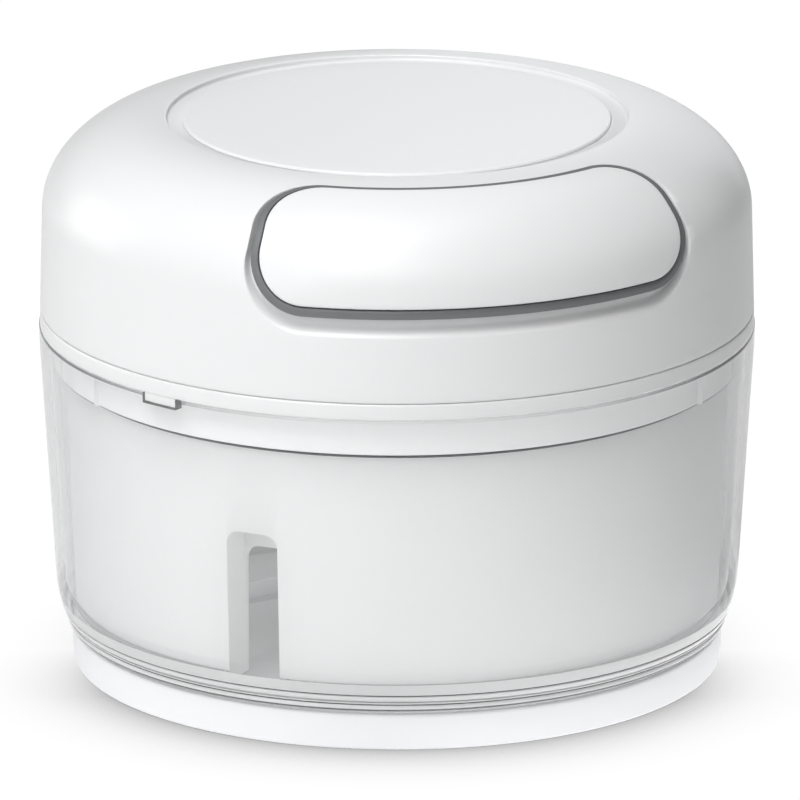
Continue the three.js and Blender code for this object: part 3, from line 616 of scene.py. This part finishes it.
def lid_grid(bearings, lengths):
    """Rings of the lid, from the middle of its ceiling, down, and up over the outside."""
    def ring(radius, height):
        across, along = radius * np.sin(bearings), -radius * np.cos(bearings)
        return np.stack([across, along, np.full(len(bearings), height)], axis=1)

    ceiling = LID_TOP - 4
    rings = [ring(0, ceiling), ring(FLAT_RADIUS - 2, ceiling)]
    for s in np.linspace(length_at_radius(FLAT_RADIUS + 3), 0.4, 40):
        radius, height = dome_ring(s, LID_WALL + bulge(bearings, s))
        rings.append(ring(radius, height))
    rings += [ring(LID_RADIUS - LID_WALL, LID_FOOT + 0.2),
              ring(LID_RADIUS - LID_WALL + 0.2, LID_FOOT)]
    lip = lengths[0]
    for turn in np.linspace(0, math.pi / 2, 5)[:-1]:
        across, up = lip * math.sin(turn), lip * (1 - math.cos(turn))
        rings.append(ring(LID_RADIUS - lip + across, LID_FOOT + up))
    first_outside = len(rings)
    for s in lengths:
        radius, height = dome_ring(s)
        rings.append(ring(radius, height))
    edge, floor = 0.35, LID_TOP - GROOVE_DEPTH
    for turn in np.linspace(0, math.pi / 2, 5)[1:]:
        across, down = edge * math.sin(turn), edge * (1 - math.cos(turn))
        rings.append(ring(GROOVE_RADIUS + edge - across, LID_TOP - down))
    rings += [ring(GROOVE_RADIUS, floor + 0.3), ring(GROOVE_RADIUS - 0.3, floor),
              ring(30, floor), ring(0, floor)]
    return np.concatenate(rings), len(rings), first_outside


def handle_surround(bearings, lengths):
    """The lid's face around the handle, meeting the gutter's edge, without the gutter."""
    edge = gutter_outline()
    bearing = edge[:, 0] / np.interp(edge[:, 1], LENGTH, RADIUS)
    edge = np.stack([bearing * LID_RADIUS, edge[:, 1]], axis=1)
    grid = np.array([(bearing * LID_RADIUS, s) for s in lengths for bearing in bearings])
    clear = ~inside(grid, edge) & (distance_to(grid, edge) > 0.55)
    flat = np.concatenate([edge, grid[clear]])
    count = len(edge)
    fences = [(i, (i + 1) % count) for i in range(count)]
    found = delaunay_2d_cdt([Vector(p) for p in flat], fences, [], 0, 1e-7)
    flat = np.array(found[0])
    faces = [face for face in found[2] if not inside(flat[list(face)].mean(axis=0)[None], edge)[0]]
    radius, height = dome_ring(flat[:, 1])
    bearing = flat[:, 0] / LID_RADIUS
    return np.stack([radius * np.sin(bearing), -radius * np.cos(bearing), height], axis=1), faces


def pocket_loops():
    """The gutter and the pocket behind the handle, from the lid's face inwards."""
    gutter, pocket = gutter_outline(), pocket_outline()
    loops = []
    for share in np.linspace(0, 1, 15):
        loops.append((between(gutter, pocket, share), GUTTER_DEPTH * smooth_step(share / 0.65)))
    floor = handle_outline(2.1, 2.25, 1.4, 10.4, 8.9)
    loops.append((between(pocket, floor, 0.5), GUTTER_DEPTH + 0.1))
    loops += [(floor, depth) for depth in (GUTTER_DEPTH + 0.4, POCKET_DEPTH - 0.3)]
    loops += closing(handle_outline(1.8, 1.95, 1.1, 10.2, 8.6), POCKET_DEPTH)
    return loops


def make_lid_shell():
    """Rings all round, except for a patch that is cut out and remade around the handle."""
    bearings = np.radians(np.arange(COLUMNS) * 360 / COLUMNS - 180)
    lengths = lid_lengths()
    points, rings, first_outside = lid_grid(bearings, lengths)
    in_patch = np.degrees(np.abs(bearings)) <= PATCH_HALF_ANGLE + 0.01
    low, high = length_at_height(PATCH_LOW_Z), length_at_radius(PATCH_HIGH_RADIUS)
    patch_lengths = [j for j, s in enumerate(lengths) if low - 0.01 <= s <= high + 0.01]
    patch_rows = {first_outside + j for j in patch_lengths}
    faces = []
    for j in range(rings - 1):
        both_rows = j in patch_rows and j + 1 in patch_rows
        for i in range(COLUMNS):
            k = (i + 1) % COLUMNS
            if both_rows and in_patch[i] and in_patch[k]:
                continue
            here, there = j * COLUMNS, (j + 1) * COLUMNS
            faces.append((here + i, here + k, there + k, there + i))
    for more_points, more_faces in (handle_surround(bearings[in_patch], lengths[patch_lengths]),
                                    loft(pocket_loops())):
        faces += [tuple(len(points) + i for i in face) for face in more_faces]
        points = np.concatenate([points, more_points])
    lid = make_piece("lid_dome", points, faces, 50.0)
    carve(lid, [prism("cutter", cord_hole_outline(EYELET_RADIUS), 50, 62)], 50.0)
    settle(lid, WHITE, "lid", "lid_shell")


def cord_hole_outline(radius, count=32):
    """A circle around the cord, as (across, up)."""
    turns = np.arange(count) * 2 * math.pi / count
    return [(radius * math.cos(turn), CORD_Z + radius * math.sin(turn)) for turn in turns]


# ------------------------------------------------------------------ pull handle
def make_handle():
    """A white panel set in a grey back plate whose border shows all round."""
    panel, border = panel_outline(), border_outline()
    turns = np.linspace(0, math.pi / 2, 6)
    edge, inner_edge = 0.5, 0.2
    core = handle_outline(-5, -5, -5, 4, 3)
    span = np.abs(core - panel).max()
    loops = closing(panel, PLATE_DEPTH - GAP)[::-1]
    for turn in turns:
        inset, down = edge * (1 - math.sin(math.pi / 2 - turn)), edge * (1 - math.sin(turn))
        loops.append((between(panel, core, inset / span), down - HANDLE_PROUD))
    loops += closing(between(panel, core, edge / span), -HANDLE_PROUD, 24)[1:]
    shell = make_piece("handle_panel", *loft(loops), 60.0)
    settle(shell, WHITE, "handle", "handle_shell")

    inner = handle_outline(0.25, 0.25, 0.25, 8.7, 7.7)
    loops = closing(inner, PLATE_DEPTH)[::-1]
    loops.append((inner, 0.0))
    loops.append((inner, inner_edge - BORDER_PROUD))
    loops.append((between(inner, border, 0.08), -BORDER_PROUD))
    loops.append((between(inner, border, 0.5), -BORDER_PROUD))
    for turn in turns:
        inset, down = 0.25 * (1 - math.sin(turn)), 0.25 * (1 - math.cos(turn))
        loops.append((between(inner, border, 1 - inset / 2), down - BORDER_PROUD))
    loops.append((border, BACK_DEPTH - 0.3))
    loops += closing(between(border, core, 0.3 / span), BACK_DEPTH)
    back = make_piece("handle_border", *loft(loops), 60.0)
    settle(back, GREY_AND_PAINTED_SHADE, "handle", "handle_back")


# ------------------------------------------------------------------ cap, chassis, drum
def make_top_cap():
    """The disc that is set into the middle of the lid's top."""
    bottom = LID_TOP - GROOVE_DEPTH + 0.03
    cap = turned_piece("top_disc", [
        (0, bottom), (CAP_RADIUS, bottom, 0.1), (CAP_RADIUS - 0.15, CAP_TOP, 0.45),
        (CAP_RADIUS - 6, CAP_TOP), (0, CAP_TOP),
    ])
    settle(cap, CAP_WHITE, "lid", "top_cap")


def ring_sector(name, inner, outer, bottom, top, bearing, half_angle, corner=0.25):
    """A block between two radii, around part of the lid."""
    outline = rounded([
        (inner, bottom), (outer, bottom, corner), (outer, top), (inner, top),
    ])
    bearings = np.linspace(bearing - half_angle, bearing + half_angle, 24)
    return make_piece(name, *revolved(outline, bearings, capped=True))


def make_chassis():
    """The band under the dome, and the skirt in the bowl's mouth with its lugs and keys."""
    band = BOWL_TOP + 0.1
    plate, plate_top, inner = 58.0, 60.0, 59.3
    tube_bottom, tube_top, bore, tube = 53.9, 61.7, 10.6, 12.6
    body = turned_piece("chassis_body", [
        (bore, tube_bottom, 0.3), (tube, tube_bottom, 0.3), (tube, plate, 0.5), (inner, plate, 0.5),
        (inner, SKIRT_BOTTOM, 0.3), (SKIRT_RADIUS, SKIRT_BOTTOM, 0.35), (SKIRT_RADIUS, band, 0.8),
        (LID_RADIUS, band, 0.15), (LID_RADIUS, BAND_TOP, 0.5), (inner, BAND_TOP, 0.3),
        (inner, plate_top, 0.5), (tube, plate_top, 0.5), (tube, tube_top, 0.3),
        (bore, tube_top, 0.3),
    ])
    pieces = [body]
    for bearing in LUG_BEARINGS:
        pieces.append(ring_sector("lug", SKIRT_RADIUS - 0.5, LUG_RADIUS, LUG_BOTTOM, band + 0.3,
                                  bearing, LUG_HALF_ANGLE, 0.5))
    half = math.degrees(TAB_WIDTH / 2 / BOWL_RADIUS)
    for bearing in TAB_BEARINGS:
        pieces.append(ring_sector("key", SKIRT_RADIUS - 0.5, BOWL_RADIUS - 0.35,
                                  BOWL_TOP - TAB_HEIGHT, band + 0.3, bearing, half))
    chassis = joined("lid_band_and_skirt", pieces)
    smooth(chassis)
    settle(chassis, WHITE, "lid", "lid_chassis")

    # Painted light: the skirt's faces get the lighter white.
    def skirt(x, y, z, normal):
        return z < band and math.hypot(x, y) < LUG_RADIUS + 0.1

    # Painted shade: the lugs' lower edges are grey.
    def painted_shade_lug_edge(x, y, z, normal):
        return z < LUG_BOTTOM + 0.6 and math.hypot(x, y) > SKIRT_RADIUS + 0.2

    paint_faces(chassis, SKIRT_PAINTED_LIGHT, skirt)
    paint_faces(chassis, GREY_AND_PAINTED_SHADE, painted_shade_lug_edge)


def notch_outline(half, bottom, top, corner):
    """An arch with round upper corners, its sides carried on below its foot."""
    turns = np.linspace(0, math.pi / 2, 7)
    right = [(half, bottom - 2)]
    for turn in turns:
        right.append((half - corner * (1 - math.cos(turn)), top - corner * (1 - math.sin(turn))))
    left = [(-x, z) for x, z in reversed(right)]
    return right + left


def bevel(piece, width):
    """Rounds the hard edges of a piece a little."""
    modifier = piece.modifiers.new("bevel", "BEVEL")
    modifier.width = width * MM
    modifier.segments = 2
    modifier.limit_method = "ANGLE"
    modifier.angle_limit = math.radians(40)
    apply_modifiers(piece)


def make_drum():
    """A sleeve around the blades, with one deep notch framed on its inside."""
    top = SKIRT_BOTTOM - 0.45
    neck, neck_top, wall = 59.0, 57.7, 1.8
    low_radius = DRUM_RADIUS - 1.6
    drum = turned_piece("drum_wall", [
        (low_radius - wall, DRUM_BOTTOM, 0.3), (low_radius, DRUM_BOTTOM, 0.3),
        (DRUM_RADIUS, top, 0.5), (neck, top), (neck, neck_top, 0.3), (neck - wall, neck_top, 0.3),
        (neck - wall, top - wall),
    ])
    half = NOTCH_WIDTH / 2
    inner = low_radius - NOTCH_DEPTH
    foot = BOWL_FLOOR + 0.6
    frame_outer = notch_outline(half + 1.6, foot + 2, NOTCH_TOP + 1.6, 4)
    hood = prism("hood", frame_outer, inner, low_radius - 0.9, NOTCH_BEARING)
    arch = notch_outline(half, foot, NOTCH_TOP, 2.5)
    opening = notch_outline(half - 0.01, foot, NOTCH_TOP - 4.7, 3)
    carve(drum, [hood], operation="UNION")
    carve(drum, [
        prism("cutter", arch, inner + 1.6, DRUM_RADIUS + 5, NOTCH_BEARING),
        prism("cutter", opening, inner - 5, inner + 3, NOTCH_BEARING),
    ])
    drum.name = "inner_sleeve"
    bevel(drum, 0.3)
    settle(drum, DRUM_WHITE, "lid", "inner_drum")

    # Painted glow on the drum's inner walls.
    def painted_glow_inner_wall(x, y, z, normal):
        inwards = normal.x * x + normal.y * y < -0.3 * math.hypot(x, y)
        return inwards and math.hypot(x, y) < low_radius - 1 and z < top

    # Weaker painted glow on the notch's side walls.
    def painted_glow_notch_side(x, y, z, normal):
        across = abs(normal.y * x - normal.x * y) / math.hypot(x, y)
        return across > 0.4 and z < NOTCH_TOP + 0.5

    # Painted shade: grey on the drum's top edge, in the joint under the skirt.
    def painted_shade_joint(x, y, z, normal):
        return z > top - 0.35

    paint_faces(drum, INSIDE_PAINTED_GLOW, painted_glow_inner_wall)
    paint_faces(drum, NOTCH_PAINTED_GLOW, painted_glow_notch_side)
    paint_faces(drum, GREY_AND_PAINTED_SHADE, painted_shade_joint)


# ------------------------------------------------------------------ base and bowl
def make_base():
    """The shallow cup that the bowl stands in."""
    wall, floor = 57.3, 3.0
    base = turned_piece("base_cup", [
        (0, 0), (BASE_RADIUS - 0.3, 0, 0.5), (BASE_RADIUS, BASE_TOP, 1.0),
        (wall, BASE_TOP, 0.3), (wall, floor, 0.5), (0, floor),
    ])
    settle(base, BASE_WHITE, "base", "base_ring")

    # Painted glow inside the cup.
    def painted_glow_cup(x, y, z, normal):
        return z > floor - 0.1 and math.hypot(x, y) < wall + 0.1

    paint_faces(base, INSIDE_PAINTED_GLOW, painted_glow_cup)


def bowl_outline():
    """The bowl in section: beads round its foot, a thin tapered wall and a centre boss."""
    low, top, wall = 62.1, BOWL_RADIUS, 1.8
    foot, under = 57.0, BOWL_FLOOR - 2
    bead = BASE_RADIUS + 0.9
    return [
        (0, under), (foot - 2.5, under, 0.4), (foot - 2.5, 3.3, 0.3), (foot, 3.3, 0.3),
        (foot, BASE_TOP + 0.4, 0.3), (bead - 1.2, BASE_TOP + 0.4, 0.2),
        (bead - 0.3, BASE_TOP + 0.5, 0.4), (bead, 8.1, 0.5), (bead - 0.1, 8.6, 0.3),
        (bead - 0.7, 8.7, 0.05), (bead - 0.7, 8.86, 0.05), (bead + 0.1, 8.95, 0.1),
        (bead + 0.15, 9.2, 0.1), (bead - 0.6, 9.3, 0.05), (bead - 0.6, 9.44, 0.05),
        (bead + 0.5, 9.55, 0.4), (bead + 0.9, 10.5, 0.3), (bead + 0.1, 10.62, 0.05),
        (bead + 0.1, 10.74, 0.05), (bead + 1.0, 10.85, 0.1), (bead + 1.55, THICK_TOP),
        (low, 15.2, 3.0), (low + 0.25, 19), (top - 0.1, BOWL_TOP - 4),
        (top - 0.03, BOWL_TOP - RIM_HEIGHT), (top, BOWL_TOP, 0.2), (top - wall, BOWL_TOP, 0.4),
        (low - wall, 14.5, 3.0),
        (low - wall - 1.6, BOWL_FLOOR, 3.0), (6.0, BOWL_FLOOR, 0.6), (6.0, BOWL_FLOOR + 2, 0.4),
        (2.8, BOWL_FLOOR + 2, 0.2), (2.8, BOWL_FLOOR), (0, BOWL_FLOOR),
    ]


def paint_faces(piece, material, chosen):
    """Gives a second material to the faces whose middle, in millimetres, is chosen."""
    piece.data.materials.append(material)
    for face in piece.data.polygons:
        if chosen(*(face.center / MM), face.normal):
            face.material_index = len(piece.data.materials) - 1


def make_bowl():
    """The clear bowl, with a slot in its rim for each of the lid's keys."""
    bowl = turned_piece("clear_bowl", bowl_outline(), 40.0)
    half = math.degrees((TAB_WIDTH / 2 + GAP) / BOWL_RADIUS)
    slot_floor = BOWL_TOP - TAB_HEIGHT - GAP
    cutters = [ring_sector("cutter", BOWL_RADIUS - 4, BOWL_RADIUS + 3, slot_floor, BOWL_TOP + 3,
                           bearing, half, 0.0) for bearing in TAB_BEARINGS]
    carve(bowl, cutters)
    settle(bowl, CLEAR, "bowl", "bowl")

    def outwards(x, y, normal):
        return (normal.x * x + normal.y * y) / math.hypot(x, y)

    def thick(x, y, z, normal):
        at_foot = math.hypot(x, y) > BASE_RADIUS - 1 and z < THICK_TOP
        return at_foot and outwards(x, y, normal) > -0.3

    def bead(x, y, z, normal):
        return thick(x, y, z, normal) and z < BEAD_TOP

    # Painted shade: the grooves between the foot's beads, and the foot's underside, are dark.
    def painted_shade_groove(x, y, z, normal):
        deep = z < BASE_TOP + 0.9 or any(low < z < high for low, high in BOWL_GROOVES)
        return bead(x, y, z, normal) and deep

    def slot_wall(x, y, z, normal):
        return slot_floor - 0.1 < z < BOWL_TOP - 0.1 and abs(outwards(x, y, normal)) < 0.5

    # Painted shade: a dark strip along the outside of the rim, under the lid's band.
    def rim(x, y, z, normal):
        return z > BOWL_TOP - RIM_HEIGHT and outwards(x, y, normal) > 0.5

    paint_faces(bowl, CLEAR_THICK, thick)
    paint_faces(bowl, CLEAR_BEAD, bead)
    paint_faces(bowl, CLEAR_CUT_AND_PAINTED_SHADE, painted_shade_groove)
    paint_faces(bowl, CLEAR_CUT_AND_PAINTED_SHADE, slot_wall)
    paint_faces(bowl, CLEAR_RIM_PAINTED_SHADE, rim)


# ------------------------------------------------------------------ blade unit
def quadratic(start, control, end, steps):
    """Points along a quadratic curve."""
    share = np.linspace(0, 1, steps)[:, None]
    start, control, end = (np.array(point, float) for point in (start, control, end))
    return start * (1 - share) ** 2 + 2 * control * share * (1 - share) + end * share ** 2


def make_blade(name, node, bearing):
    """Two swept wings on a hub ring, each ground to an edge along its bowed side."""
    bottom, top = floor_of(node, 2), reach(node, 2)
    hub, steps = COLUMN_RADIUS + 3.5, 28
    bowed = quadratic((-8.6, 5), (-0.6 * BLADE_RADIUS, 12), (-BLADE_RADIUS, -2), steps)
    back = quadratic((-9.6, -5), (-0.5 * BLADE_RADIUS, -2), (-BLADE_RADIUS, -2.4), steps)
    bowed[0], back[0] = (-COLUMN_RADIUS - 0.5, 4.6), (-COLUMN_RADIUS - 0.5, -4.6)
    width = np.linalg.norm(back - bowed, axis=1)[:, None]
    ground = bowed + (back - bowed) * np.clip(2.6 / np.maximum(width, 0.1), 0.1, 0.75)
    middle = (bottom + top) / 2
    rows = [(bowed, middle - 0.08), (ground, bottom), (back, bottom + 0.1), (back, top - 0.1),
            (ground, top), (bowed, middle + 0.08)]
    wings = []
    for turn in (0, 180):
        points = np.concatenate([np.column_stack([row, np.full(steps, z)]) for row, z in rows])
        spin = math.radians(bearing + turn)
        across = points[:, 0] * math.cos(spin) - points[:, 1] * math.sin(spin)
        along = points[:, 0] * math.sin(spin) + points[:, 1] * math.cos(spin)
        points = np.column_stack([across, along, points[:, 2]])
        faces = []
        for j in range(len(rows)):
            here, there = j * steps, (j + 1) % len(rows) * steps
            faces += [(here + i, here + i + 1, there + i + 1, there + i) for i in range(steps - 1)]
        for end in (0, steps - 1):
            faces.append(tuple(j * steps + end for j in range(len(rows))))
        wings.append(make_piece("wing", points, faces))
    bore = COLUMN_RADIUS + 0.2
    ring = turned_piece("hub", [(bore, bottom), (hub, bottom, 0.2), (hub, top, 0.2), (bore, top)])
    blade = joined(name, wings + [ring])
    smooth(blade)
    settle(blade, STEEL, "blade", node)


def make_blade_unit():
    """The post with its blades and sleeves, and the bowl's spike that it turns on."""
    bottom, top, hexagon = DRUM_BOTTOM, 50.0, reach("blade_column", 2)
    radius, pin = COLUMN_RADIUS, 2.5
    socket_bottom, socket_top = 18.6, 31
    post = turned_piece("blade_post", [
        (4.5, bottom), (radius - 0.2, bottom, 0.4), (radius - 0.2, bottom + 2.6, 0.3),
        (radius, bottom + 3, 0.2), (radius, 44, 0.3), (radius - 0.6, 44.6, 0.3),
        (radius - 0.6, 46, 0.3), (radius, 46.6, 0.3), (radius, top, 0.8), (0, top), (0, socket_top),
        (pin + GAP, socket_top), (pin + GAP, socket_bottom), (4.5, socket_bottom),
    ])
    corners = [on_plan(4.85, 60 * i + 30) for i in range(6)]
    rows = [(0.97, top - 1), (1.0, top - 0.6), (1.0, hexagon - 0.8), (0.88, hexagon), (0.0, hexagon)]
    points = [(x * share, y * share, z) for share, z in rows for x, y in corners]
    faces = [(j * 6 + i, j * 6 + (i + 1) % 6, (j + 1) * 6 + (i + 1) % 6, (j + 1) * 6 + i)
             for j in range(len(rows) - 1) for i in range(6)]
    faces.append(tuple(range(6)))
    column = joined("blade_post", [post, make_piece("hexagon", points, faces)])
    smooth(column)
    settle(column, WHITE, "blade", "blade_column")

    make_blade("lower_blade", "blade_lower", 20)
    make_blade("upper_blade", "blade_upper", 110)
    for name, node in (("blade_sleeve", "blade_spacer"), ("blade_cap", "blade_collar")):
        low, high, outer = floor_of(node, 2), reach(node, 2), reach(node)
        sleeve = turned_piece(name, [
            (radius + 0.2, low), (outer, low, 0.4), (outer, low + 1.6, 0.4),
            (outer - 0.9, low + 2.2, 0.4), (outer - 0.9, high - 0.9, 0.4), (outer - 0.5, high, 0.4),
            (radius + 0.2, high, 0.2),
        ])
        settle(sleeve, WHITE, "blade", node)
    spike = turned_piece("bowl_spike", [
        (0, BOWL_FLOOR + GAP), (pin, BOWL_FLOOR + GAP, 0.2), (pin, 28.8, 0.4), (pin - 0.8, 30, 0.4),
        (0, 30),
    ])
    settle(spike, STEEL, "bowl", "bowl_pin")


# ------------------------------------------------------------------ cord
def turned_along_cord(name, outline):
    """A closed outline of (radius, y, corner radius) turned about the cord's line."""
    points, faces = revolved(rounded(outline))
    points = [(x, z, CORD_Z + y) for x, y, z in points]
    return make_piece(name, points, faces)


def make_cord_fittings():
    """The lid's eyelet that the cord runs out of, and the handle's ferrule that holds its end."""
    near, bore, flange = reach("cord_guide", 1), CORD_RADIUS + 0.4, 4.6
    mouth, lip = POCKET_FLOOR_Y - 0.3, EYELET_RADIUS + 0.9
    eyelet = turned_along_cord("cord_eyelet", [
        (bore + 0.9, mouth, 0.3), (lip, mouth, 0.3), (lip, mouth + 0.6, 0.1),
        (EYELET_RADIUS, mouth + 0.6), (EYELET_RADIUS, near - 2), (flange, near - 2, 0.2),
        (flange, near, 0.3), (bore + 0.9, near, 0.5), (bore, near - 1.2, 0.6),
        (bore, mouth + 1.2, 0.6),
    ])
    settle(eyelet, NATURAL, "lid", "cord_guide")
    rear, inner, outer = -LID_RADIUS + BACK_DEPTH + 0.45, CORD_RADIUS + 0.05, 2.3
    front = rear - 1.6
    ferrule = turned_along_cord("cord_ferrule", [
        (inner, rear, 0.2), (outer, rear, 0.3), (outer, front, 0.2), (inner, front),
    ])
    settle(ferrule, STEEL, "handle", "cord_anchor")


def make_outer_cord():
    """The cord between the lid and the handle; on the chopper it draws out with the handle."""
    start, end = reach("cord_outer_run", 1), floor_of("cord_outer_run", 1)
    sides, steps = 16, 40
    points, faces = [], []
    for i in range(steps + 1):
        y = start + (end - start) * i / steps
        for j in range(sides):
            turn = 2 * math.pi * j / sides
            points.append((CORD_RADIUS * math.cos(turn), y, CORD_Z + CORD_RADIUS * math.sin(turn)))
    for i in range(steps):
        for j in range(sides):
            k = (j + 1) % sides
            faces.append((i * sides + j, i * sides + k, (i + 1) * sides + k, (i + 1) * sides + j))
    faces.append(tuple(range(sides)))
    faces.append(tuple(steps * sides + j for j in range(sides)))
    cord = make_piece("pull_cord", points, faces)
    cord.data.materials.append(CORD)
    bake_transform(cord)
    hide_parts("cord_outer_run")


# ------------------------------------------------------------------ stage, lights, camera
# The stage is set out in metres, but CAMERA_RIGHT, CAMERA_DOWN, VIEW_WIDTH and SENSOR are in mm.
AIM = Vector((0, 0, 0.048))
CAMERA_BEARING = -15.0
CAMERA_HEIGHT_ANGLE = 16.55
CAMERA_DISTANCE = 2.3
CAMERA_RIGHT = 0.54  # small moves across the view that centre the object
CAMERA_DOWN = 0.37
VIEW_WIDTH = 145.3488  # what the picture spans at the object
SENSOR = 36.0
LIGHT_SIZE = 0.6
LIGHT_DISTANCE = 1.1
WORLD_LIGHT = 0.2
FLOOR_GLOW = 0.1  # the light that the white floor gives back all round
SIDE_GLOW = 1.0  # and more of it close to the object on the shaded side
SIDE_GLOW_BEARING = 70.0
SIDE_GLOW_FULL = 0.06  # how far out on that side it is full
SIDE_GLOW_FADE = (0.072, 0.092)  # the distances from the middle that it fades between
SHADOW_REACH = 0.03
# The painted contact shadow: how open the space over a point of the floor is, and the tone that the
# point shows.
SHADOW_STOPS = ((0.3, 0.3), (0.36, 0.42), (0.52, 0.66), (0.6, 0.8), (0.7, 0.92), (0.82, 0.98),
                (1.0, 1.02))
SHADOW_FRONT = 0.028  # how far in front of the middle the shadow has its full tone
FLOOR_WHITE = 1.02


def direction(bearing, elevation):
    """The unit vector from the object towards a bearing and an elevation."""
    flat = math.cos(math.radians(elevation))
    x, y = on_plan(flat, bearing)
    return Vector((x, y, math.sin(math.radians(elevation))))


def make_camera():
    """A long lens a little left of the front, looking slightly down."""
    data = bpy.data.cameras.new("camera")
    camera = placed("camera", data)
    towards = direction(CAMERA_BEARING, CAMERA_HEIGHT_ANGLE)
    right = Vector((0, 0, 1)).cross(towards).normalized()
    up = towards.cross(right)
    camera.location = AIM + towards * CAMERA_DISTANCE
    camera.location += right * CAMERA_RIGHT * MM - up * CAMERA_DOWN * MM
    camera.rotation_euler = towards.to_track_quat("Z", "Y").to_euler()
    data.sensor_width = SENSOR
    data.lens = SENSOR * CAMERA_DISTANCE / (VIEW_WIDTH * MM)
    data.clip_end = 50
    bpy.context.scene.camera = camera


def area_light(name, bearing, elevation, power, color=(1, 1, 1)):
    """A square softbox aimed at the middle of the object."""
    data = bpy.data.lights.new(name, "AREA")
    data.size = LIGHT_SIZE
    data.energy = power
    data.color = color
    light = placed(name, data)
    towards = direction(bearing, elevation)
    light.location = AIM + towards * LIGHT_DISTANCE
    light.rotation_euler = towards.to_track_quat("Z", "Y").to_euler()


def make_lights():
    """Soft light from the left at three heights and from overhead, and a little from behind."""
    area_light("high_left", -50, 60, 6.9)
    area_light("middle_left", -26, 38, 2.8)
    area_light("overhead", -30, 85, 1.9)
    area_light("low_left", -55, 12, 1.5)
    area_light("back_left", -130, 10, 2.1)
    area_light("back_right_high", 150, 60, 0.8, (0.96, 0.98, 1))
    area_light("back_right_low", 150, 10, 0.9, (0.96, 0.98, 1))


def make_world():
    """Even light from all round, with plain white behind the object."""
    world = bpy.data.worlds.new("studio")
    bpy.context.scene.world = world
    world.use_nodes = True
    tree = world.node_tree
    tree.nodes.clear()
    around = node_at(tree, "ShaderNodeBackground", Strength=WORLD_LIGHT)
    behind = node_at(tree, "ShaderNodeBackground", Strength=1.0)
    output = tree.nodes.new("ShaderNodeOutputWorld")
    tree.links.new(camera_switch(tree, around, behind), output.inputs["Surface"])


def distance_towards(tree, place, bearing):
    """How far each point of the floor lies out towards a bearing."""
    out = tree.nodes.new("ShaderNodeVectorMath")
    out.operation = "DOT_PRODUCT"
    out.inputs[1].default_value = direction(bearing, 0)
    tree.links.new(place, out.inputs[0])
    return out.outputs["Value"]


def seen_floor(tree, place):
    """Plain white, with a painted shadow where the object stands close over the floor."""
    near = node_at(tree, "ShaderNodeAmbientOcclusion", Distance=SHADOW_REACH)
    near.samples = 16
    shade = tree.nodes.new("ShaderNodeValToRGB")
    while len(shade.color_ramp.elements) < len(SHADOW_STOPS):
        shade.color_ramp.elements.new(0.5)
    for stop, (openness, value) in zip(shade.color_ramp.elements, SHADOW_STOPS):
        stop.position = openness
        stop.color = (value, value, value, 1)
    tree.links.new(near.outputs["AO"], shade.inputs["Fac"])
    front = distance_towards(tree, place, CAMERA_BEARING)
    tone = tree.nodes.new("ShaderNodeMix")
    tone.data_type = "RGBA"
    tone.inputs["A"].default_value = (FLOOR_WHITE, FLOOR_WHITE, FLOOR_WHITE, 1)
    tree.links.new(mapped(tree, front, 0.0, SHADOW_FRONT, 0.2, 1.0), tone.inputs["Factor"])
    tree.links.new(shade.outputs["Color"], tone.inputs["B"])
    seen = tree.nodes.new("ShaderNodeEmission")
    tree.links.new(tone.outputs["Result"], seen.inputs["Color"])
    return seen


def lit_floor(tree, place):
    """What lights the object from below: a white floor, brighter near its shaded side."""
    side = distance_towards(tree, place, SIDE_GLOW_BEARING)
    rise = mapped(tree, side, 0.0, SIDE_GLOW_FULL, FLOOR_GLOW, SIDE_GLOW)
    away = tree.nodes.new("ShaderNodeVectorMath")
    away.operation = "LENGTH"
    tree.links.new(place, away.inputs[0])
    fall = mapped(tree, away.outputs["Value"], *SIDE_GLOW_FADE, SIDE_GLOW, FLOOR_GLOW)
    strength = tree.nodes.new("ShaderNodeMath")
    strength.operation = "MINIMUM"
    tree.links.new(rise, strength.inputs[0])
    tree.links.new(fall, strength.inputs[1])
    glow = tree.nodes.new("ShaderNodeEmission")
    tree.links.new(strength.outputs[0], glow.inputs["Strength"])
    white = node_at(tree, "ShaderNodeBsdfDiffuse", Color=(0.8, 0.8, 0.8, 1))
    bounced = tree.nodes.new("ShaderNodeAddShader")
    tree.links.new(white.outputs[0], bounced.inputs[0])
    tree.links.new(glow.outputs[0], bounced.inputs[1])
    return bounced


def make_floor():
    """A floor seen as white with a painted contact shadow, and that lights the object."""
    half = 6.0
    corners = [(-half, -half, 0), (half, -half, 0), (half, half, 0), (-half, half, 0)]
    mesh = bpy.data.meshes.new("floor")
    mesh.from_pydata(corners, [], [(0, 1, 2, 3)])
    floor = placed("floor", mesh)
    material = bpy.data.materials.new("floor_white")
    material.use_nodes = True
    tree = material.node_tree
    tree.nodes.clear()
    place = tree.nodes.new("ShaderNodeTexCoord").outputs["Object"]
    output = tree.nodes.new("ShaderNodeOutputMaterial")
    switch = camera_switch(tree, lit_floor(tree, place), seen_floor(tree, place))
    tree.links.new(switch, output.inputs["Surface"])
    floor.data.materials.append(material)


# ------------------------------------------------------------------ build
def dress_cad_nodes():
    """Gives every CAD node the material of its slot."""
    slots = {row["node"]: row["material_slot"] for row in frame["record"]["subparts"]}
    for name, node in frame["nodes"].items():
        node.data.materials.clear()
        node.data.materials.append(SLOT_MATERIALS[slots[name]])


bpy.context.scene.view_settings.view_transform = "Standard"
dress_cad_nodes()
make_camera()
make_lights()
make_world()
make_floor()

make_base()
make_bowl()
make_drum()
make_chassis()
make_lid_shell()
make_top_cap()
make_handle()
make_blade_unit()
make_cord_fittings()
make_outer_cord()
